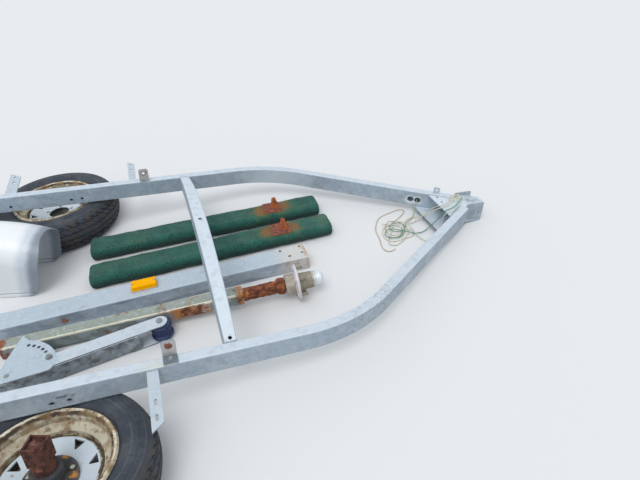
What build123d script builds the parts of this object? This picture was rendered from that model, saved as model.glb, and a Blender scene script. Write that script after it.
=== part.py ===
from build123d import *
import os
from math import cos, radians, sin, sqrt, tan

# A galvanised boat trailer that has been taken apart. The frame lies nose down on the ground and
# its rails rest on the two wheels, which lie flat. The tongue, axle, bunks, winch arm and one
# fender lie on the ground inside it. Millimetres, ground at Z = 0, nose towards +X.

# Frame
FRAME_WIDTH = 1230.0
RAIL_HEIGHT = 76.2
RAIL_WIDTH = 40.0
TUBE_WALL = 3.2
REAR_END = -2050.0
BEND_RADIUS = 578.0
LEG_ANGLE = 35.1
LEG_LENGTH = 763.0
CORNER = 5.0
PLATE = 5.0
NOSE_TIP = 1062.0
NOSE_DOWN = 5.6

# The start of the rails' bend, at the underside of the frame, seen from the middle of everything
BEND_X = 480.1
MIDDLE_Y = 32.1
BEND_Z = NOSE_TIP * sin(radians(NOSE_DOWN)) + PLATE

FRAME = Plane(
    origin=(BEND_X, MIDDLE_Y, BEND_Z),
    x_dir=(cos(radians(NOSE_DOWN)), 0, -sin(radians(NOSE_DOWN))),
    z_dir=(sin(radians(NOSE_DOWN)), 0, cos(radians(NOSE_DOWN))),
)


def frame_way(x, y, z):
    """A direction given in the frame's own coordinates."""
    return FRAME.x_dir * x + FRAME.y_dir * y + FRAME.z_dir * z


def in_frame(x, y, z, x_dir=(1, 0, 0), z_dir=(0, 0, 1)):
    """A plane at a place in the frame's own coordinates."""
    place = FRAME.origin + frame_way(x, y, z)
    return Plane(origin=place, x_dir=frame_way(*x_dir), z_dir=frame_way(*z_dir))


def on_ground(x, y, z=0.0, turn=0.0, rise=0.0):
    """A plane at a place on the ground, turned to the left and with its nose raised."""
    a, b = radians(turn), radians(rise)
    return Plane(
        origin=(BEND_X + x, MIDDLE_Y + y, z),
        x_dir=(cos(a) * cos(b), sin(a) * cos(b), sin(b)),
        z_dir=(-cos(a) * sin(b), -sin(a) * sin(b), cos(b)),
    )


def across(plane, x=0.0, z=0.0):
    """The cross-section plane of a long piece: its Y is up and its normal runs along the piece."""
    place = plane.origin + plane.x_dir * x + plane.z_dir * z
    return Plane(origin=place, x_dir=plane.y_dir, z_dir=plane.x_dir)


def upright(plane):
    """The plane through a piece's own X and Z axes, for profiles that are turned."""
    return Plane(origin=plane.origin, x_dir=plane.x_dir, z_dir=-plane.y_dir)


def at(plane, x=0.0, y=0.0, z=0.0):
    """The same plane moved along its own axes."""
    return Plane(
        origin=plane.origin + plane.x_dir * x + plane.y_dir * y + plane.z_dir * z,
        x_dir=plane.x_dir,
        z_dir=plane.z_dir,
    )


# Rails: straight, then bent inwards to the nose
RAIL_Y = (FRAME_WIDTH - RAIL_WIDTH) / 2
HANGER_HOLES = (-1010.0, -760.0, -715.0)


def rail_tube(side):
    with BuildPart() as tube:
        with BuildLine(in_frame(0, 0, RAIL_HEIGHT / 2)) as run:
            back = Line((REAR_END, side * RAIL_Y), (0, side * RAIL_Y))
            bend = JernArc(back @ 1, back % 1, BEND_RADIUS, -side * LEG_ANGLE)
            Line(bend @ 1, bend @ 1 + LEG_LENGTH * (bend % 1))
        with BuildSketch(in_frame(REAR_END, side * RAIL_Y, RAIL_HEIGHT / 2, (0, 1, 0), (1, 0, 0))):
            RectangleRounded(RAIL_WIDTH, RAIL_HEIGHT, CORNER)
            RectangleRounded(
                RAIL_WIDTH - 2 * TUBE_WALL,
                RAIL_HEIGHT - 2 * TUBE_WALL,
                CORNER - TUBE_WALL,
                mode=Mode.SUBTRACT,
            )
        sweep(path=run.wire())
        for x in HANGER_HOLES:
            with BuildSketch(in_frame(x, side * RAIL_Y, 26, (1, 0, 0), (0, 1, 0))):
                Circle(6.5)
            extrude(amount=RAIL_WIDTH, both=True, mode=Mode.SUBTRACT)
    return tube, run.wire()


right_rail, right_run = rail_tube(-1)
plain_left_rail, left_run = rail_tube(1)

# Two round-ended wire holes through the inner wall of the left leg
WIRE_HOLE_FROM_END = 180.0
WIRE_HOLE_PITCH = 34.0
leg_way = left_run.tangent_at(1)
hole_place = left_run.position_at(1) - leg_way * WIRE_HOLE_FROM_END - FRAME.z_dir * 4
with BuildPart() as left_rail:
    add(plain_left_rail.part)
    with BuildSketch(Plane(origin=hole_place, x_dir=leg_way, z_dir=leg_way.cross(FRAME.z_dir))):
        with Locations((-WIRE_HOLE_PITCH / 2, 0), (WIRE_HOLE_PITCH / 2, 0)):
            SlotOverall(31, 27)
    extrude(amount=RAIL_WIDTH, mode=Mode.SUBTRACT)

right_rail.part.label = "right_rail"
left_rail.part.label = "left_rail"

# Cross-members between the rails. The front one is arched for the keel and widest in its middle.
CROSS_LENGTH = FRAME_WIDTH - 2 * RAIL_WIDTH
ARCH_RISE = 105.0
ARCH_WIDTH = 50.0
FRONT_CROSS = -243.0


def arched_block(x, inset):
    half = CROSS_LENGTH / 2
    low, high = inset, RAIL_HEIGHT - inset
    end, middle = RAIL_WIDTH / 2 - inset, ARCH_WIDTH / 2 - inset
    with BuildPart() as block:
        with BuildSketch(in_frame(x - ARCH_WIDTH, 0, 0, (0, 1, 0), (1, 0, 0))):
            with BuildLine():
                over = ThreePointArc((-half, high), (0, high + ARCH_RISE), (half, high))
                under = ThreePointArc((half, low), (0, low + ARCH_RISE), (-half, low))
                Line(over @ 1, under @ 0)
                Line(under @ 1, over @ 0)
            make_face()
        extrude(amount=2 * ARCH_WIDTH)
        with BuildSketch(in_frame(x, 0, 0)):
            with BuildLine():
                fore = ThreePointArc((end, -half), (middle, 0), (end, half))
                aft = ThreePointArc((-end, half), (-middle, 0), (-end, -half))
                Line(fore @ 1, aft @ 0)
                Line(aft @ 1, fore @ 0)
            make_face()
        extrude(amount=high + ARCH_RISE, mode=Mode.INTERSECT)
    return block


inner_arch = arched_block(FRONT_CROSS, TUBE_WALL)
with BuildPart() as front_crossmember:
    add(arched_block(FRONT_CROSS, 0).part)
    fillet(front_crossmember.edges().filter_by(lambda edge: edge.length > CROSS_LENGTH), CORNER)
    add(inner_arch.part, mode=Mode.SUBTRACT)
    for y, z in ((-562, 70), (2, 171)):
        with BuildSketch(in_frame(FRONT_CROSS, y, z)):
            Circle(6.5)
        extrude(amount=20, mode=Mode.SUBTRACT)
front_crossmember.part.label = "front_crossmember"


def cross_tube(x):
    with BuildPart() as tube:
        start = in_frame(x, -CROSS_LENGTH / 2, RAIL_HEIGHT / 2, (1, 0, 0), (0, 1, 0))
        with BuildSketch(start):
            RectangleRounded(RAIL_WIDTH, RAIL_HEIGHT, CORNER)
            RectangleRounded(
                RAIL_WIDTH - 2 * TUBE_WALL,
                RAIL_HEIGHT - 2 * TUBE_WALL,
                CORNER - TUBE_WALL,
                mode=Mode.SUBTRACT,
            )
        extrude(amount=CROSS_LENGTH)
    return tube


middle_crossmember = cross_tube(-1660)
middle_crossmember.part.label = "middle_crossmember"
rear_crossmember = cross_tube(REAR_END + RAIL_WIDTH / 2)
rear_crossmember.part.label = "rear_crossmember"

# Nose: a socket for the tongue, made of a gusset over the legs, one under them and two side plates
TONGUE_GAP = 104.0
SOCKET_BACK = 966.0
SOCKET_FRONT = 1056.0
SOCKET_TOP = 90.0
SOCKET_BOLT = 1025.0
GUSSET_HALF = (
    (847, 102), (938, 38), (948, 34), (960, 51), (1029, 51), (1078, 16),
)
with BuildPart() as upper_gusset:
    with BuildSketch(in_frame(0, 0, RAIL_HEIGHT - PLATE - 2)):
        Polygon(*GUSSET_HALF, *((x, -y) for x, y in reversed(GUSSET_HALF)), align=None)
        with Locations((877, 65), (876, 20)):
            Circle(6, mode=Mode.SUBTRACT)
    extrude(amount=PLATE)
upper_gusset.part.label = "upper_gusset"

with BuildPart() as lower_gusset:
    with BuildSketch(in_frame(0, 0, -PLATE)) as lower_shape:
        Polygon(
            (800, -162), (962, -62), (NOSE_TIP, -60),
            (NOSE_TIP, 60), (962, 62), (800, 162),
            align=None,
        )
        fillet(lower_shape.vertices().group_by(Axis.X)[-1], 12)
    extrude(amount=PLATE)
lower_gusset.part.label = "lower_gusset"

with BuildPart() as tongue_plates:
    for side in (-1, 1):
        face = in_frame(0, side * TONGUE_GAP / 2, 0, (1, 0, 0), (0, side, 0))
        with BuildSketch(face):
            with Locations(((SOCKET_BACK + SOCKET_FRONT) / 2, side * -SOCKET_TOP / 2)):
                RectangleRounded(SOCKET_FRONT - SOCKET_BACK, SOCKET_TOP, 6)
            with Locations((SOCKET_BOLT, side * -RAIL_HEIGHT / 2)):
                Circle(7, mode=Mode.SUBTRACT)
        extrude(amount=PLATE + 1)
tongue_plates.part.label = "tongue_plates"

# A small upright tab on top of the left leg
c, s = cos(radians(LEG_ANGLE)), sin(radians(LEG_ANGLE))
with BuildPart() as light_tab:
    with BuildSketch(in_frame(893, 101, RAIL_HEIGHT + 15, (c, -s, 0), (-s, -c, 0))):
        RectangleRounded(30, 30, 5)
        Circle(5, mode=Mode.SUBTRACT)
    extrude(amount=2.5, both=True)
light_tab.part.label = "light_tab"

# Bunk brackets: rusty angles bolted on top of the rails, one leg upright
BRACKET = 43.0
BRACKET_UP = 64.0
BRACKET_HOLE = 43.0
FRONT_BRACKET = -428.0


def bunk_angles(x):
    with BuildPart() as angles:
        for side in (-1, 1):
            with BuildSketch(in_frame(x - BRACKET / 2, side * RAIL_Y, RAIL_HEIGHT, (0, 1, 0), (1, 0, 0))):
                with Locations((0, 2.5)):
                    Rectangle(RAIL_WIDTH, PLATE)
            extrude(amount=BRACKET)
            inner_face = in_frame(x, side * (RAIL_Y - RAIL_WIDTH / 2), RAIL_HEIGHT, (1, 0, 0), (0, side, 0))
            with BuildSketch(inner_face) as leg:
                with Locations((0, -side * BRACKET_UP / 2)):
                    Rectangle(BRACKET, BRACKET_UP)
                fillet(leg.vertices().sort_by(Axis.Y)[slice(0, 2) if side > 0 else slice(2, 4)], 10)
                with Locations((0, -side * BRACKET_HOLE)):
                    Circle(7, mode=Mode.SUBTRACT)
            extrude(amount=PLATE)
    return angles


front_bunk_brackets = bunk_angles(FRONT_BRACKET)
front_bunk_brackets.part.label = "front_bunk_brackets"
rear_bunk_brackets = bunk_angles(-1860)
rear_bunk_brackets.part.label = "rear_bunk_brackets"

# Fender brackets: slotted flat bars that stand out from the rails, with a slanted end
FENDER_REACH = 212.0


def fender_bars(x, width):
    with BuildPart() as bars:
        for side in (-1, 1):
            with BuildSketch(in_frame(x, side * FRAME_WIDTH / 2, 64)):
                Polygon(
                    (-width / 2, 0), (width / 2, 0), (width / 2, side * (FENDER_REACH - width * 0.8)),
                    (-width / 2, side * FENDER_REACH),
                    align=None,
                )
                with Locations((0, side * 116), (0, side * 168)):
                    SlotOverall(22, 9, rotation=90, mode=Mode.SUBTRACT)
            extrude(amount=PLATE)
    return bars


front_fender_brackets = fender_bars(-483, 33)
front_fender_brackets.part.label = "front_fender_brackets"
rear_fender_brackets = fender_bars(-1006, 47)
rear_fender_brackets.part.label = "rear_fender_brackets"

# Wheels: 13 inch rims and tyres. In a wheel's plane Z is its axis, with the inner side up.
TYRE_RADIUS = 285.0
TYRE_WIDTH = 168.0
FLANGE_RADIUS = 182.5
RIM_HALF_WIDTH = 68.5
BEAD_RADIUS = 165.0
DISC_DEPTH = -6.0
PRESS_GAP = 0.4
right_wheel = on_ground(-776, -789, 119).rotated((-6.2, 4.5, 0))
left_wheel = on_ground(-859, 724, TYRE_WIDTH / 2 + 0.5)


def tyre_on(wheel, side):
    """A tyre with its upper sidewall pressed in where the rail lies on it."""
    half = TYRE_WIDTH / 2
    with BuildPart() as tyre:
        with BuildSketch(upright(wheel)):
            with BuildLine():
                bead = Polyline((168, -46), (172, -60), (187, -60))
                wall = ThreePointArc(bead @ 1, (235, -half), (272, -58))
                tread = ThreePointArc(wall @ 1, (TYRE_RADIUS, 0), (272, 58))
                upper_wall = ThreePointArc(tread @ 1, (235, half), (187, 60))
                Polyline(upper_wall @ 1, (172, 60), (168, 46), (182, 48))
                upper_lining = ThreePointArc((182, 48), (230, 72), (262, 50))
                under_tread = ThreePointArc(upper_lining @ 1, (273, 0), (262, -50))
                lower_lining = ThreePointArc(under_tread @ 1, (230, -72), (182, -48))
                Line(lower_lining @ 1, bead @ 0)
            make_face()
        revolve(axis=Axis(wheel.origin, wheel.z_dir))
        with BuildSketch(in_frame(-850, side * RAIL_Y, -PRESS_GAP)):
            Rectangle(800, RAIL_WIDTH + 2 * PRESS_GAP)
        extrude(amount=60, mode=Mode.SUBTRACT)
    return tyre


RIM_SHEET = 4.5
VENTS = 8
VENT_TURN = 10.0
STUDS = 5
STUD_CIRCLE = 57.15
STUD_TURN = 15.0


def rim_on(wheel):
    flange, half, bead, well = FLANGE_RADIUS, RIM_HALF_WIDTH, BEAD_RADIUS, BEAD_RADIUS - 22
    with BuildPart() as rim:
        with BuildSketch(upright(wheel)):
            with BuildLine():
                Polyline(
                    (flange, -half + 6), (flange - 4, -half), (bead + 5, -half + 3),
                    (bead, -half + 14), (bead, -36), (well, -26), (well, 22), (bead, 36),
                    (bead, half - 14), (bead + 5, half - 3), (flange - 4, half), (flange, half - 6),
                )
            trace(line_width=RIM_SHEET)
            with BuildLine():
                Polyline(
                    (well - 2, -24), (well - 3, 2), (126, 12), (106, 4), (80, DISC_DEPTH), (46, DISC_DEPTH),
                )
            trace(line_width=RIM_SHEET)
        revolve(axis=Axis(wheel.origin, wheel.z_dir))
        with BuildSketch(at(wheel, z=-40)):
            with PolarLocations(109, VENTS, start_angle=VENT_TURN):
                Trapezoid(36, 25, 58, rotation=90)
            with PolarLocations(STUD_CIRCLE, STUDS, start_angle=STUD_TURN):
                Circle(7.5)
        extrude(amount=60, mode=Mode.SUBTRACT)
    return rim


right_tyre = tyre_on(right_wheel, -1)
right_tyre.part.label = "right_tyre"
right_rim = rim_on(right_wheel)
right_rim.part.label = "right_rim"
left_tyre = tyre_on(left_wheel, 1)
left_tyre.part.label = "left_tyre"
left_rim = rim_on(left_wheel)
left_rim.part.label = "left_rim"

# Hubs: the flange's wheel face is at the plane's origin and the nose points along its Z
HUB_FLANGE = 72.0
FLANGE_THICK = 10.0
BARREL_LENGTH = 42.0
NOSE_LENGTH = 60.0
CAP_LENGTH = 42.0
SPINDLE = 17.0
SPINDLE_FIT = 0.4
SEAL_GAP = 3.0


def hub_at(hub):
    inner = -FLANGE_THICK - BARREL_LENGTH
    with BuildPart() as body:
        with BuildSketch(upright(hub)):
            with BuildLine():
                Polyline(
                    (SPINDLE + SPINDLE_FIT, inner), (38, inner), (41, inner + 4), (41, -FLANGE_THICK - 4),
                    (45, -FLANGE_THICK), (HUB_FLANGE, -FLANGE_THICK), (HUB_FLANGE, 0), (36, 0),
                    (35, 5), (33, NOSE_LENGTH), (SPINDLE + SPINDLE_FIT, NOSE_LENGTH), close=True,
                )
            make_face()
        revolve(axis=Axis(hub.origin, hub.z_dir))
        with BuildSketch(hub):
            with PolarLocations(STUD_CIRCLE, STUDS, start_angle=-STUD_TURN):
                Circle(6)
        extrude(amount=28)
        with BuildSketch(at(hub, z=-FLANGE_THICK)):
            with PolarLocations(STUD_CIRCLE, STUDS, start_angle=-STUD_TURN):
                Circle(9)
        extrude(amount=-4)
    return body


def cap_at(hub):
    with BuildPart() as cap:
        with BuildSketch(upright(hub)):
            with BuildLine():
                Polyline((0, NOSE_LENGTH + 2), (31, NOSE_LENGTH + 2), (31, NOSE_LENGTH + 28))
                RadiusArc((31, NOSE_LENGTH + 28), (24, NOSE_LENGTH + 38), -12)
                Polyline((24, NOSE_LENGTH + 38), (12, NOSE_LENGTH + CAP_LENGTH), (0, NOSE_LENGTH + CAP_LENGTH))
                Line((0, NOSE_LENGTH + CAP_LENGTH), (0, NOSE_LENGTH + 2))
            make_face()
        revolve(axis=Axis(hub.origin, hub.z_dir))
    return cap


right_hub_plane = Plane(
    origin=at(right_wheel, z=DISC_DEPTH + RIM_SHEET / 2).origin,
    x_dir=right_wheel.x_dir,
    z_dir=-right_wheel.z_dir,
)
right_hub = hub_at(right_hub_plane)
right_hub.part.label = "right_hub"
right_grease_cap = cap_at(right_hub_plane)
right_grease_cap.part.label = "right_grease_cap"

# Axle: a square tube that was cut through. Its long piece lies with one hub still on its spindle,
# and a stub of it stands in the other hub.
AXLE_SIZE = 50.8
AXLE_WALL = 5.0
AXLE_TURN = -5.8
AXLE_RISE = 2.25
AXLE_LENGTH = 890.0
STUB_LENGTH = 66.0
SHOULDER = 30.0
SHOULDER_LENGTH = 26.0
NECK = 23.5
NECK_LENGTH = 141.0
axle_run = on_ground(84, -235, 72.4, AXLE_TURN, AXLE_RISE)
axle_hub_plane = across(axle_run)

axle_hub = hub_at(axle_hub_plane)
axle_hub.part.label = "axle_hub"
axle_grease_cap = cap_at(axle_hub_plane)
axle_grease_cap.part.label = "axle_grease_cap"


def square_axle(hub, neck, length, turn):
    """A spindle with its shoulder and neck behind a hub's plane, and the square tube behind them."""
    shoulder = -FLANGE_THICK - BARREL_LENGTH - SEAL_GAP
    tube = shoulder - SHOULDER_LENGTH - neck
    with BuildPart() as axle:
        with BuildSketch(at(hub, z=tube)):
            Rectangle(AXLE_SIZE, AXLE_SIZE, rotation=turn)
        extrude(amount=-length)
        with BuildSketch(at(hub, z=tube - length)):
            Rectangle(AXLE_SIZE - 2 * AXLE_WALL, AXLE_SIZE - 2 * AXLE_WALL, rotation=turn)
        extrude(amount=length - 12, mode=Mode.SUBTRACT)
        with BuildSketch(at(hub, z=tube)):
            Circle(NECK)
        extrude(amount=shoulder - tube)
        with BuildSketch(upright(hub)):
            with BuildLine():
                Polyline(
                    (0, shoulder), (SHOULDER, shoulder), (SHOULDER, shoulder - SHOULDER_LENGTH + 6),
                    (NECK, shoulder - SHOULDER_LENGTH), (0, shoulder - SHOULDER_LENGTH), close=True,
                )
            make_face()
        revolve(axis=Axis(hub.origin, hub.z_dir))
        with BuildSketch(at(hub, z=shoulder)):
            Circle(SPINDLE)
        extrude(amount=NOSE_LENGTH - shoulder)
    return axle


axle_beam = square_axle(axle_hub_plane, NECK_LENGTH, AXLE_LENGTH, 0)
axle_beam.part.label = "axle_beam"
axle_stub = square_axle(right_hub_plane, 0.5, STUB_LENGTH, 20)
axle_stub.part.label = "axle_stub"

# Tongue: a rectangular tube with bolt holes at its front end, and a side marker lamp on it
TONGUE_WIDTH = 98.0
TONGUE_HEIGHT = 65.0
TONGUE_LENGTH = 1930.0
TONGUE_TURN = -1.7
TONGUE_HOLES = ((-19, 34), (-106, 31), (-19, -11), (-76, -18))
tongue_run = on_ground(180, -36, 0, TONGUE_TURN)
with BuildPart() as tongue_beam:
    with BuildSketch(across(tongue_run, z=TONGUE_HEIGHT / 2)):
        RectangleRounded(TONGUE_WIDTH, TONGUE_HEIGHT, 6)
        RectangleRounded(TONGUE_WIDTH - 8, TONGUE_HEIGHT - 8, 2.5, mode=Mode.SUBTRACT)
    extrude(amount=-TONGUE_LENGTH)
    with BuildSketch(at(tongue_run, z=TONGUE_HEIGHT)):
        with Locations(*TONGUE_HOLES):
            Circle(6)
    extrude(amount=-10, mode=Mode.SUBTRACT)
tongue_beam.part.label = "tongue_beam"

LAMP_LENGTH = 102.0
LAMP_WIDTH = 50.0
lamp_place = at(tongue_run, -677, 4, TONGUE_HEIGHT)
with BuildPart() as lamp_base:
    with BuildSketch(lamp_place):
        RectangleRounded(LAMP_LENGTH, LAMP_WIDTH, 6)
    extrude(amount=5)
lamp_base.part.label = "lamp_base"

with BuildPart() as lamp_lens:
    with BuildSketch(at(lamp_place, z=5)):
        RectangleRounded(LAMP_LENGTH - 4, LAMP_WIDTH - 4, 5)
    extrude(amount=20)
    fillet(lamp_lens.faces().sort_by(Axis.Z)[-1].edges(), 4)
lamp_lens.part.label = "lamp_lens"

# Bunks: carpeted boards lying flat, each with a rusty tee bracket on top
BUNK_WIDTH = 134.0
BUNK_HEIGHT = 61.0
BUNK_LENGTH = 1080.0
left_bunk_run = on_ground(362, 343, 0, -2.8)
right_bunk_run = on_ground(360, 158, 0, -1.6)


def board(run):
    with BuildPart() as bunk:
        with BuildSketch(across(run, z=BUNK_HEIGHT / 2)):
            RectangleRounded(BUNK_WIDTH, BUNK_HEIGHT, 18)
        extrude(amount=-BUNK_LENGTH)
        fillet(bunk.faces().sort_by(Axis.X)[-1].edges(), 12)
    return bunk


left_bunk = board(left_bunk_run)
left_bunk.part.label = "left_bunk"
right_bunk = board(right_bunk_run)
right_bunk.part.label = "right_bunk"

with BuildPart() as bunk_tees:
    for run, back in ((left_bunk_run, 228), (right_bunk_run, 236)):
        with BuildSketch(at(run, -back, 0, BUNK_HEIGHT)):
            RectangleRounded(84, 88, 10)
        extrude(amount=PLATE)
        with BuildSketch(upright(at(run, -back + 12, -10, BUNK_HEIGHT + PLATE))):
            Trapezoid(38, 58, 80, align=(Align.CENTER, Align.MIN))
        extrude(amount=PLATE / 2, both=True)
bunk_tees.part.label = "bunk_tees"

# Winch arm: a rectangular tube between two quadrant plates, with a bow roller in a fork of plates
ARM_WIDTH = 58.0
ARM_HEIGHT = 66.0
ARM_LENGTH = 510.0
FORK_LENGTH = 84.0
FORK_WIDTH = 56.0
FORK_BACK = 118.0
ARM_TURN = 7.2
QUADRANT_RADIUS = 158.0
HOLE_RADIUS = 135.0
ROLLER_RADIUS = 39.0
arm_run = on_ground(-963, -313.5, 0, ARM_TURN)
with BuildPart() as winch_arm:
    with BuildSketch(across(arm_run, x=-34, z=PLATE + ARM_HEIGHT / 2)):
        RectangleRounded(ARM_WIDTH, ARM_HEIGHT, CORNER)
        RectangleRounded(ARM_WIDTH - 6, ARM_HEIGHT - 6, 2, mode=Mode.SUBTRACT)
    extrude(amount=ARM_LENGTH - FORK_LENGTH + 34)
winch_arm.part.label = "winch_arm"

with BuildPart() as quadrant_plates:
    for z in (0, PLATE + ARM_HEIGHT):
        with BuildSketch(at(arm_run, z=z)) as quadrant:
            with BuildLine():
                out = CenterArc((0, 0), QUADRANT_RADIUS, -6, 68)
                Polyline(out @ 1, (53, 177), (-46, -8), (-42, -26), (132, -41), out @ 0)
            make_face()
            fillet(quadrant.vertices().sort_by(Axis.Y)[0:2], 14)
            with PolarLocations(HOLE_RADIUS, 5, start_angle=22, angular_range=36, endpoint=True):
                Circle(5.5, mode=Mode.SUBTRACT)
            with PolarLocations(HOLE_RADIUS, 1, start_angle=7):
                Circle(5.5, mode=Mode.SUBTRACT)
            Circle(6.5, mode=Mode.SUBTRACT)
        extrude(amount=PLATE)
quadrant_plates.part.label = "quadrant_plates"

with BuildPart() as fork_plates:
    for z in (0, PLATE + ARM_HEIGHT):
        with BuildSketch(at(arm_run, ARM_LENGTH, 0, z)):
            Circle(FORK_WIDTH / 2)
            with Locations((-FORK_BACK / 2, 0)):
                Rectangle(FORK_BACK, FORK_WIDTH)
            Circle(8, mode=Mode.SUBTRACT)
        extrude(amount=PLATE)
fork_plates.part.label = "fork_plates"

roller_plane = at(arm_run, ARM_LENGTH, 0, PLATE + 3)
ROLLER_WIDTH = ARM_HEIGHT - 6
with BuildPart() as bow_roller:
    with BuildSketch(upright(roller_plane)):
        with BuildLine():
            Polyline((8, 0), (ROLLER_RADIUS - 6, 0))
            RadiusArc((ROLLER_RADIUS - 6, 0), (ROLLER_RADIUS, 6), -6)
            Line((ROLLER_RADIUS, 6), (ROLLER_RADIUS, 14))
            ThreePointArc((ROLLER_RADIUS, 14), (ROLLER_RADIUS - 8, 30), (ROLLER_RADIUS, 46))
            Line((ROLLER_RADIUS, 46), (ROLLER_RADIUS, ROLLER_WIDTH - 6))
            RadiusArc((ROLLER_RADIUS, ROLLER_WIDTH - 6), (ROLLER_RADIUS - 6, ROLLER_WIDTH), -6)
            Polyline((ROLLER_RADIUS - 6, ROLLER_WIDTH), (8, ROLLER_WIDTH), (8, 0))
        make_face()
    revolve(axis=Axis(roller_plane.origin, roller_plane.z_dir))
bow_roller.part.label = "bow_roller"

with BuildPart() as roller_bolt:
    with BuildSketch(at(arm_run, ARM_LENGTH, 0, 1)):
        Circle(7.6)
    extrude(amount=ARM_HEIGHT + 2 * PLATE + 2)
    with BuildSketch(at(arm_run, ARM_LENGTH, 0, ARM_HEIGHT + 2 * PLATE)):
        RegularPolygon(11, 6)
    extrude(amount=8)
roller_bolt.part.label = "roller_bolt"

# Fender: one loose fender, an arched shell with open ends that lean outwards, rounded lower
# corners and a bead along its lower edges, standing on the ground behind the bunks
FENDER_LENGTH = 500.0
FENDER_WIDTH = 235.0
FENDER_CROWN = 288.0
FENDER_ARC = 850.0
FENDER_CURVE = 108.0
FENDER_SHEET = 4.0
FENDER_LEAN = 15.5
FENDER_REST = 420.0
fender_plane = on_ground(-1128, 375, 0, -18.0)


def fender_block(inset):
    """A long block under the fender's arc, rounded along the top."""
    width = FENDER_WIDTH - 2 * inset
    arc = FENDER_ARC - inset
    foot = FENDER_CROWN - FENDER_ARC + sqrt(arc**2 - FENDER_REST**2)
    with BuildPart() as block:
        with BuildSketch(upright(at(fender_plane, y=-width / 2))):
            with BuildLine():
                over = ThreePointArc((-FENDER_REST, foot), (0, FENDER_CROWN - inset), (FENDER_REST, foot))
                Polyline(over @ 1, (FENDER_REST, -inset), (-FENDER_REST, -inset), over @ 0)
            make_face()
        extrude(amount=-width)
        long_edges = block.edges().filter_by(GeomType.CIRCLE)
        fillet(long_edges, FENDER_CURVE - inset)
    return block


fender_hollow = fender_block(FENDER_SHEET)
with BuildPart() as fender:
    add(fender_block(0).part)
    add(fender_hollow.part, mode=Mode.SUBTRACT)
    with BuildSketch(across(fender_plane, x=-FENDER_LENGTH / 2)):
        with Locations((FENDER_SHEET / 2 - FENDER_WIDTH / 2, 9), (FENDER_WIDTH / 2 - FENDER_SHEET / 2, 9)):
            RectangleRounded(10, 18, 4)
    extrude(amount=FENDER_LENGTH)
    lean = FENDER_CROWN * tan(radians(FENDER_LEAN))
    with BuildSketch(upright(at(fender_plane, y=-FENDER_WIDTH))) as fender_side:
        Polygon(
            (-FENDER_LENGTH / 2, 0), (FENDER_LENGTH / 2, 0), (FENDER_LENGTH / 2 + lean, FENDER_CROWN),
            (-FENDER_LENGTH / 2 - lean, FENDER_CROWN),
            align=None,
        )
        fillet(fender_side.vertices().group_by(Axis.Z)[0], 85)
    extrude(amount=-2 * FENDER_WIDTH, mode=Mode.INTERSECT)
fender.part.label = "fender"

# Wiring: what is left of the loom comes out of the nose and of a wire hole, and lies in a tangle
WIRE_LEAD = 4.0
with BuildPart() as wire_tangle:
    with BuildSketch(on_ground(652, 24)):
        Ellipse(122, 136)
    extrude(amount=14)
    fillet(wire_tangle.faces().sort_by(Axis.Z)[-1].edges(), 5)
wire_tangle.part.label = "wire_tangle"


def lead(points):
    """A wire along a route of points, each corner rounded as far as its two runs allow."""
    corners = [Vector(BEND_X + x, MIDDLE_Y + y, z) for x, y, z in points]
    runs = [b - a for a, b in zip(corners, corners[1:])]
    radii = []
    for a, b in zip(runs, runs[1:]):
        radii.append(0.45 * min(a.length, b.length) / tan(radians(a.get_angle(b)) / 2))
    print("wire bends", [round(r, 1) for r in radii])
    with BuildPart() as wire:
        with BuildLine() as route:
            way = FilletPolyline(*corners, radius=radii)
        with BuildSketch(Plane(origin=way @ 0, z_dir=way % 0)):
            Circle(WIRE_LEAD / 2)
        sweep(path=route.wire())
        print("volume", round(wire.part.volume), "of", round(way.length * 3.1416 * WIRE_LEAD**2 / 4))
        add(wire_tangle.part, mode=Mode.SUBTRACT)
    return wire


NOSE_WIRE = (
    (992, 36, 94), (951, 20, 99), (902, -16, 104), (858, -40, 110), (822, -30, 102), (803, -8, 72),
    (787, 32, 34), (779, 66, 13), (759, 82, 5), (738, 78, 4),
)
HOLE_WIRE = (
    (812, 135, 61), (797, 114, 60), (782, 96, 44), (769, 80, 22), (750, 66, 7), (728, 58, 4),
)
wire_lead_a = lead(NOSE_WIRE)
wire_lead_a.part.label = "wire_lead_a"
wire_lead_b = lead(HOLE_WIRE)
wire_lead_b.part.label = "wire_lead_b"

PIECES = (
    right_rail, left_rail, front_crossmember, middle_crossmember, rear_crossmember, upper_gusset,
    lower_gusset, tongue_plates, light_tab, front_bunk_brackets, rear_bunk_brackets,
    front_fender_brackets, rear_fender_brackets, right_tyre, right_rim, left_tyre, left_rim,
    right_hub, right_grease_cap, axle_hub, axle_grease_cap, axle_beam, axle_stub, tongue_beam,
    lamp_base, lamp_lens, left_bunk, right_bunk, bunk_tees, winch_arm, quadrant_plates,
    fork_plates, bow_roller, roller_bolt, fender, wire_tangle, wire_lead_a, wire_lead_b,
)
os.makedirs("parts", exist_ok=True)
for piece in PIECES:
    export_step(piece.part, f"parts/{piece.part.label}.step")
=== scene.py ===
import math
import random
from functools import cache

import bpy
from mathutils import Euler, Matrix, Vector, noise


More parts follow.
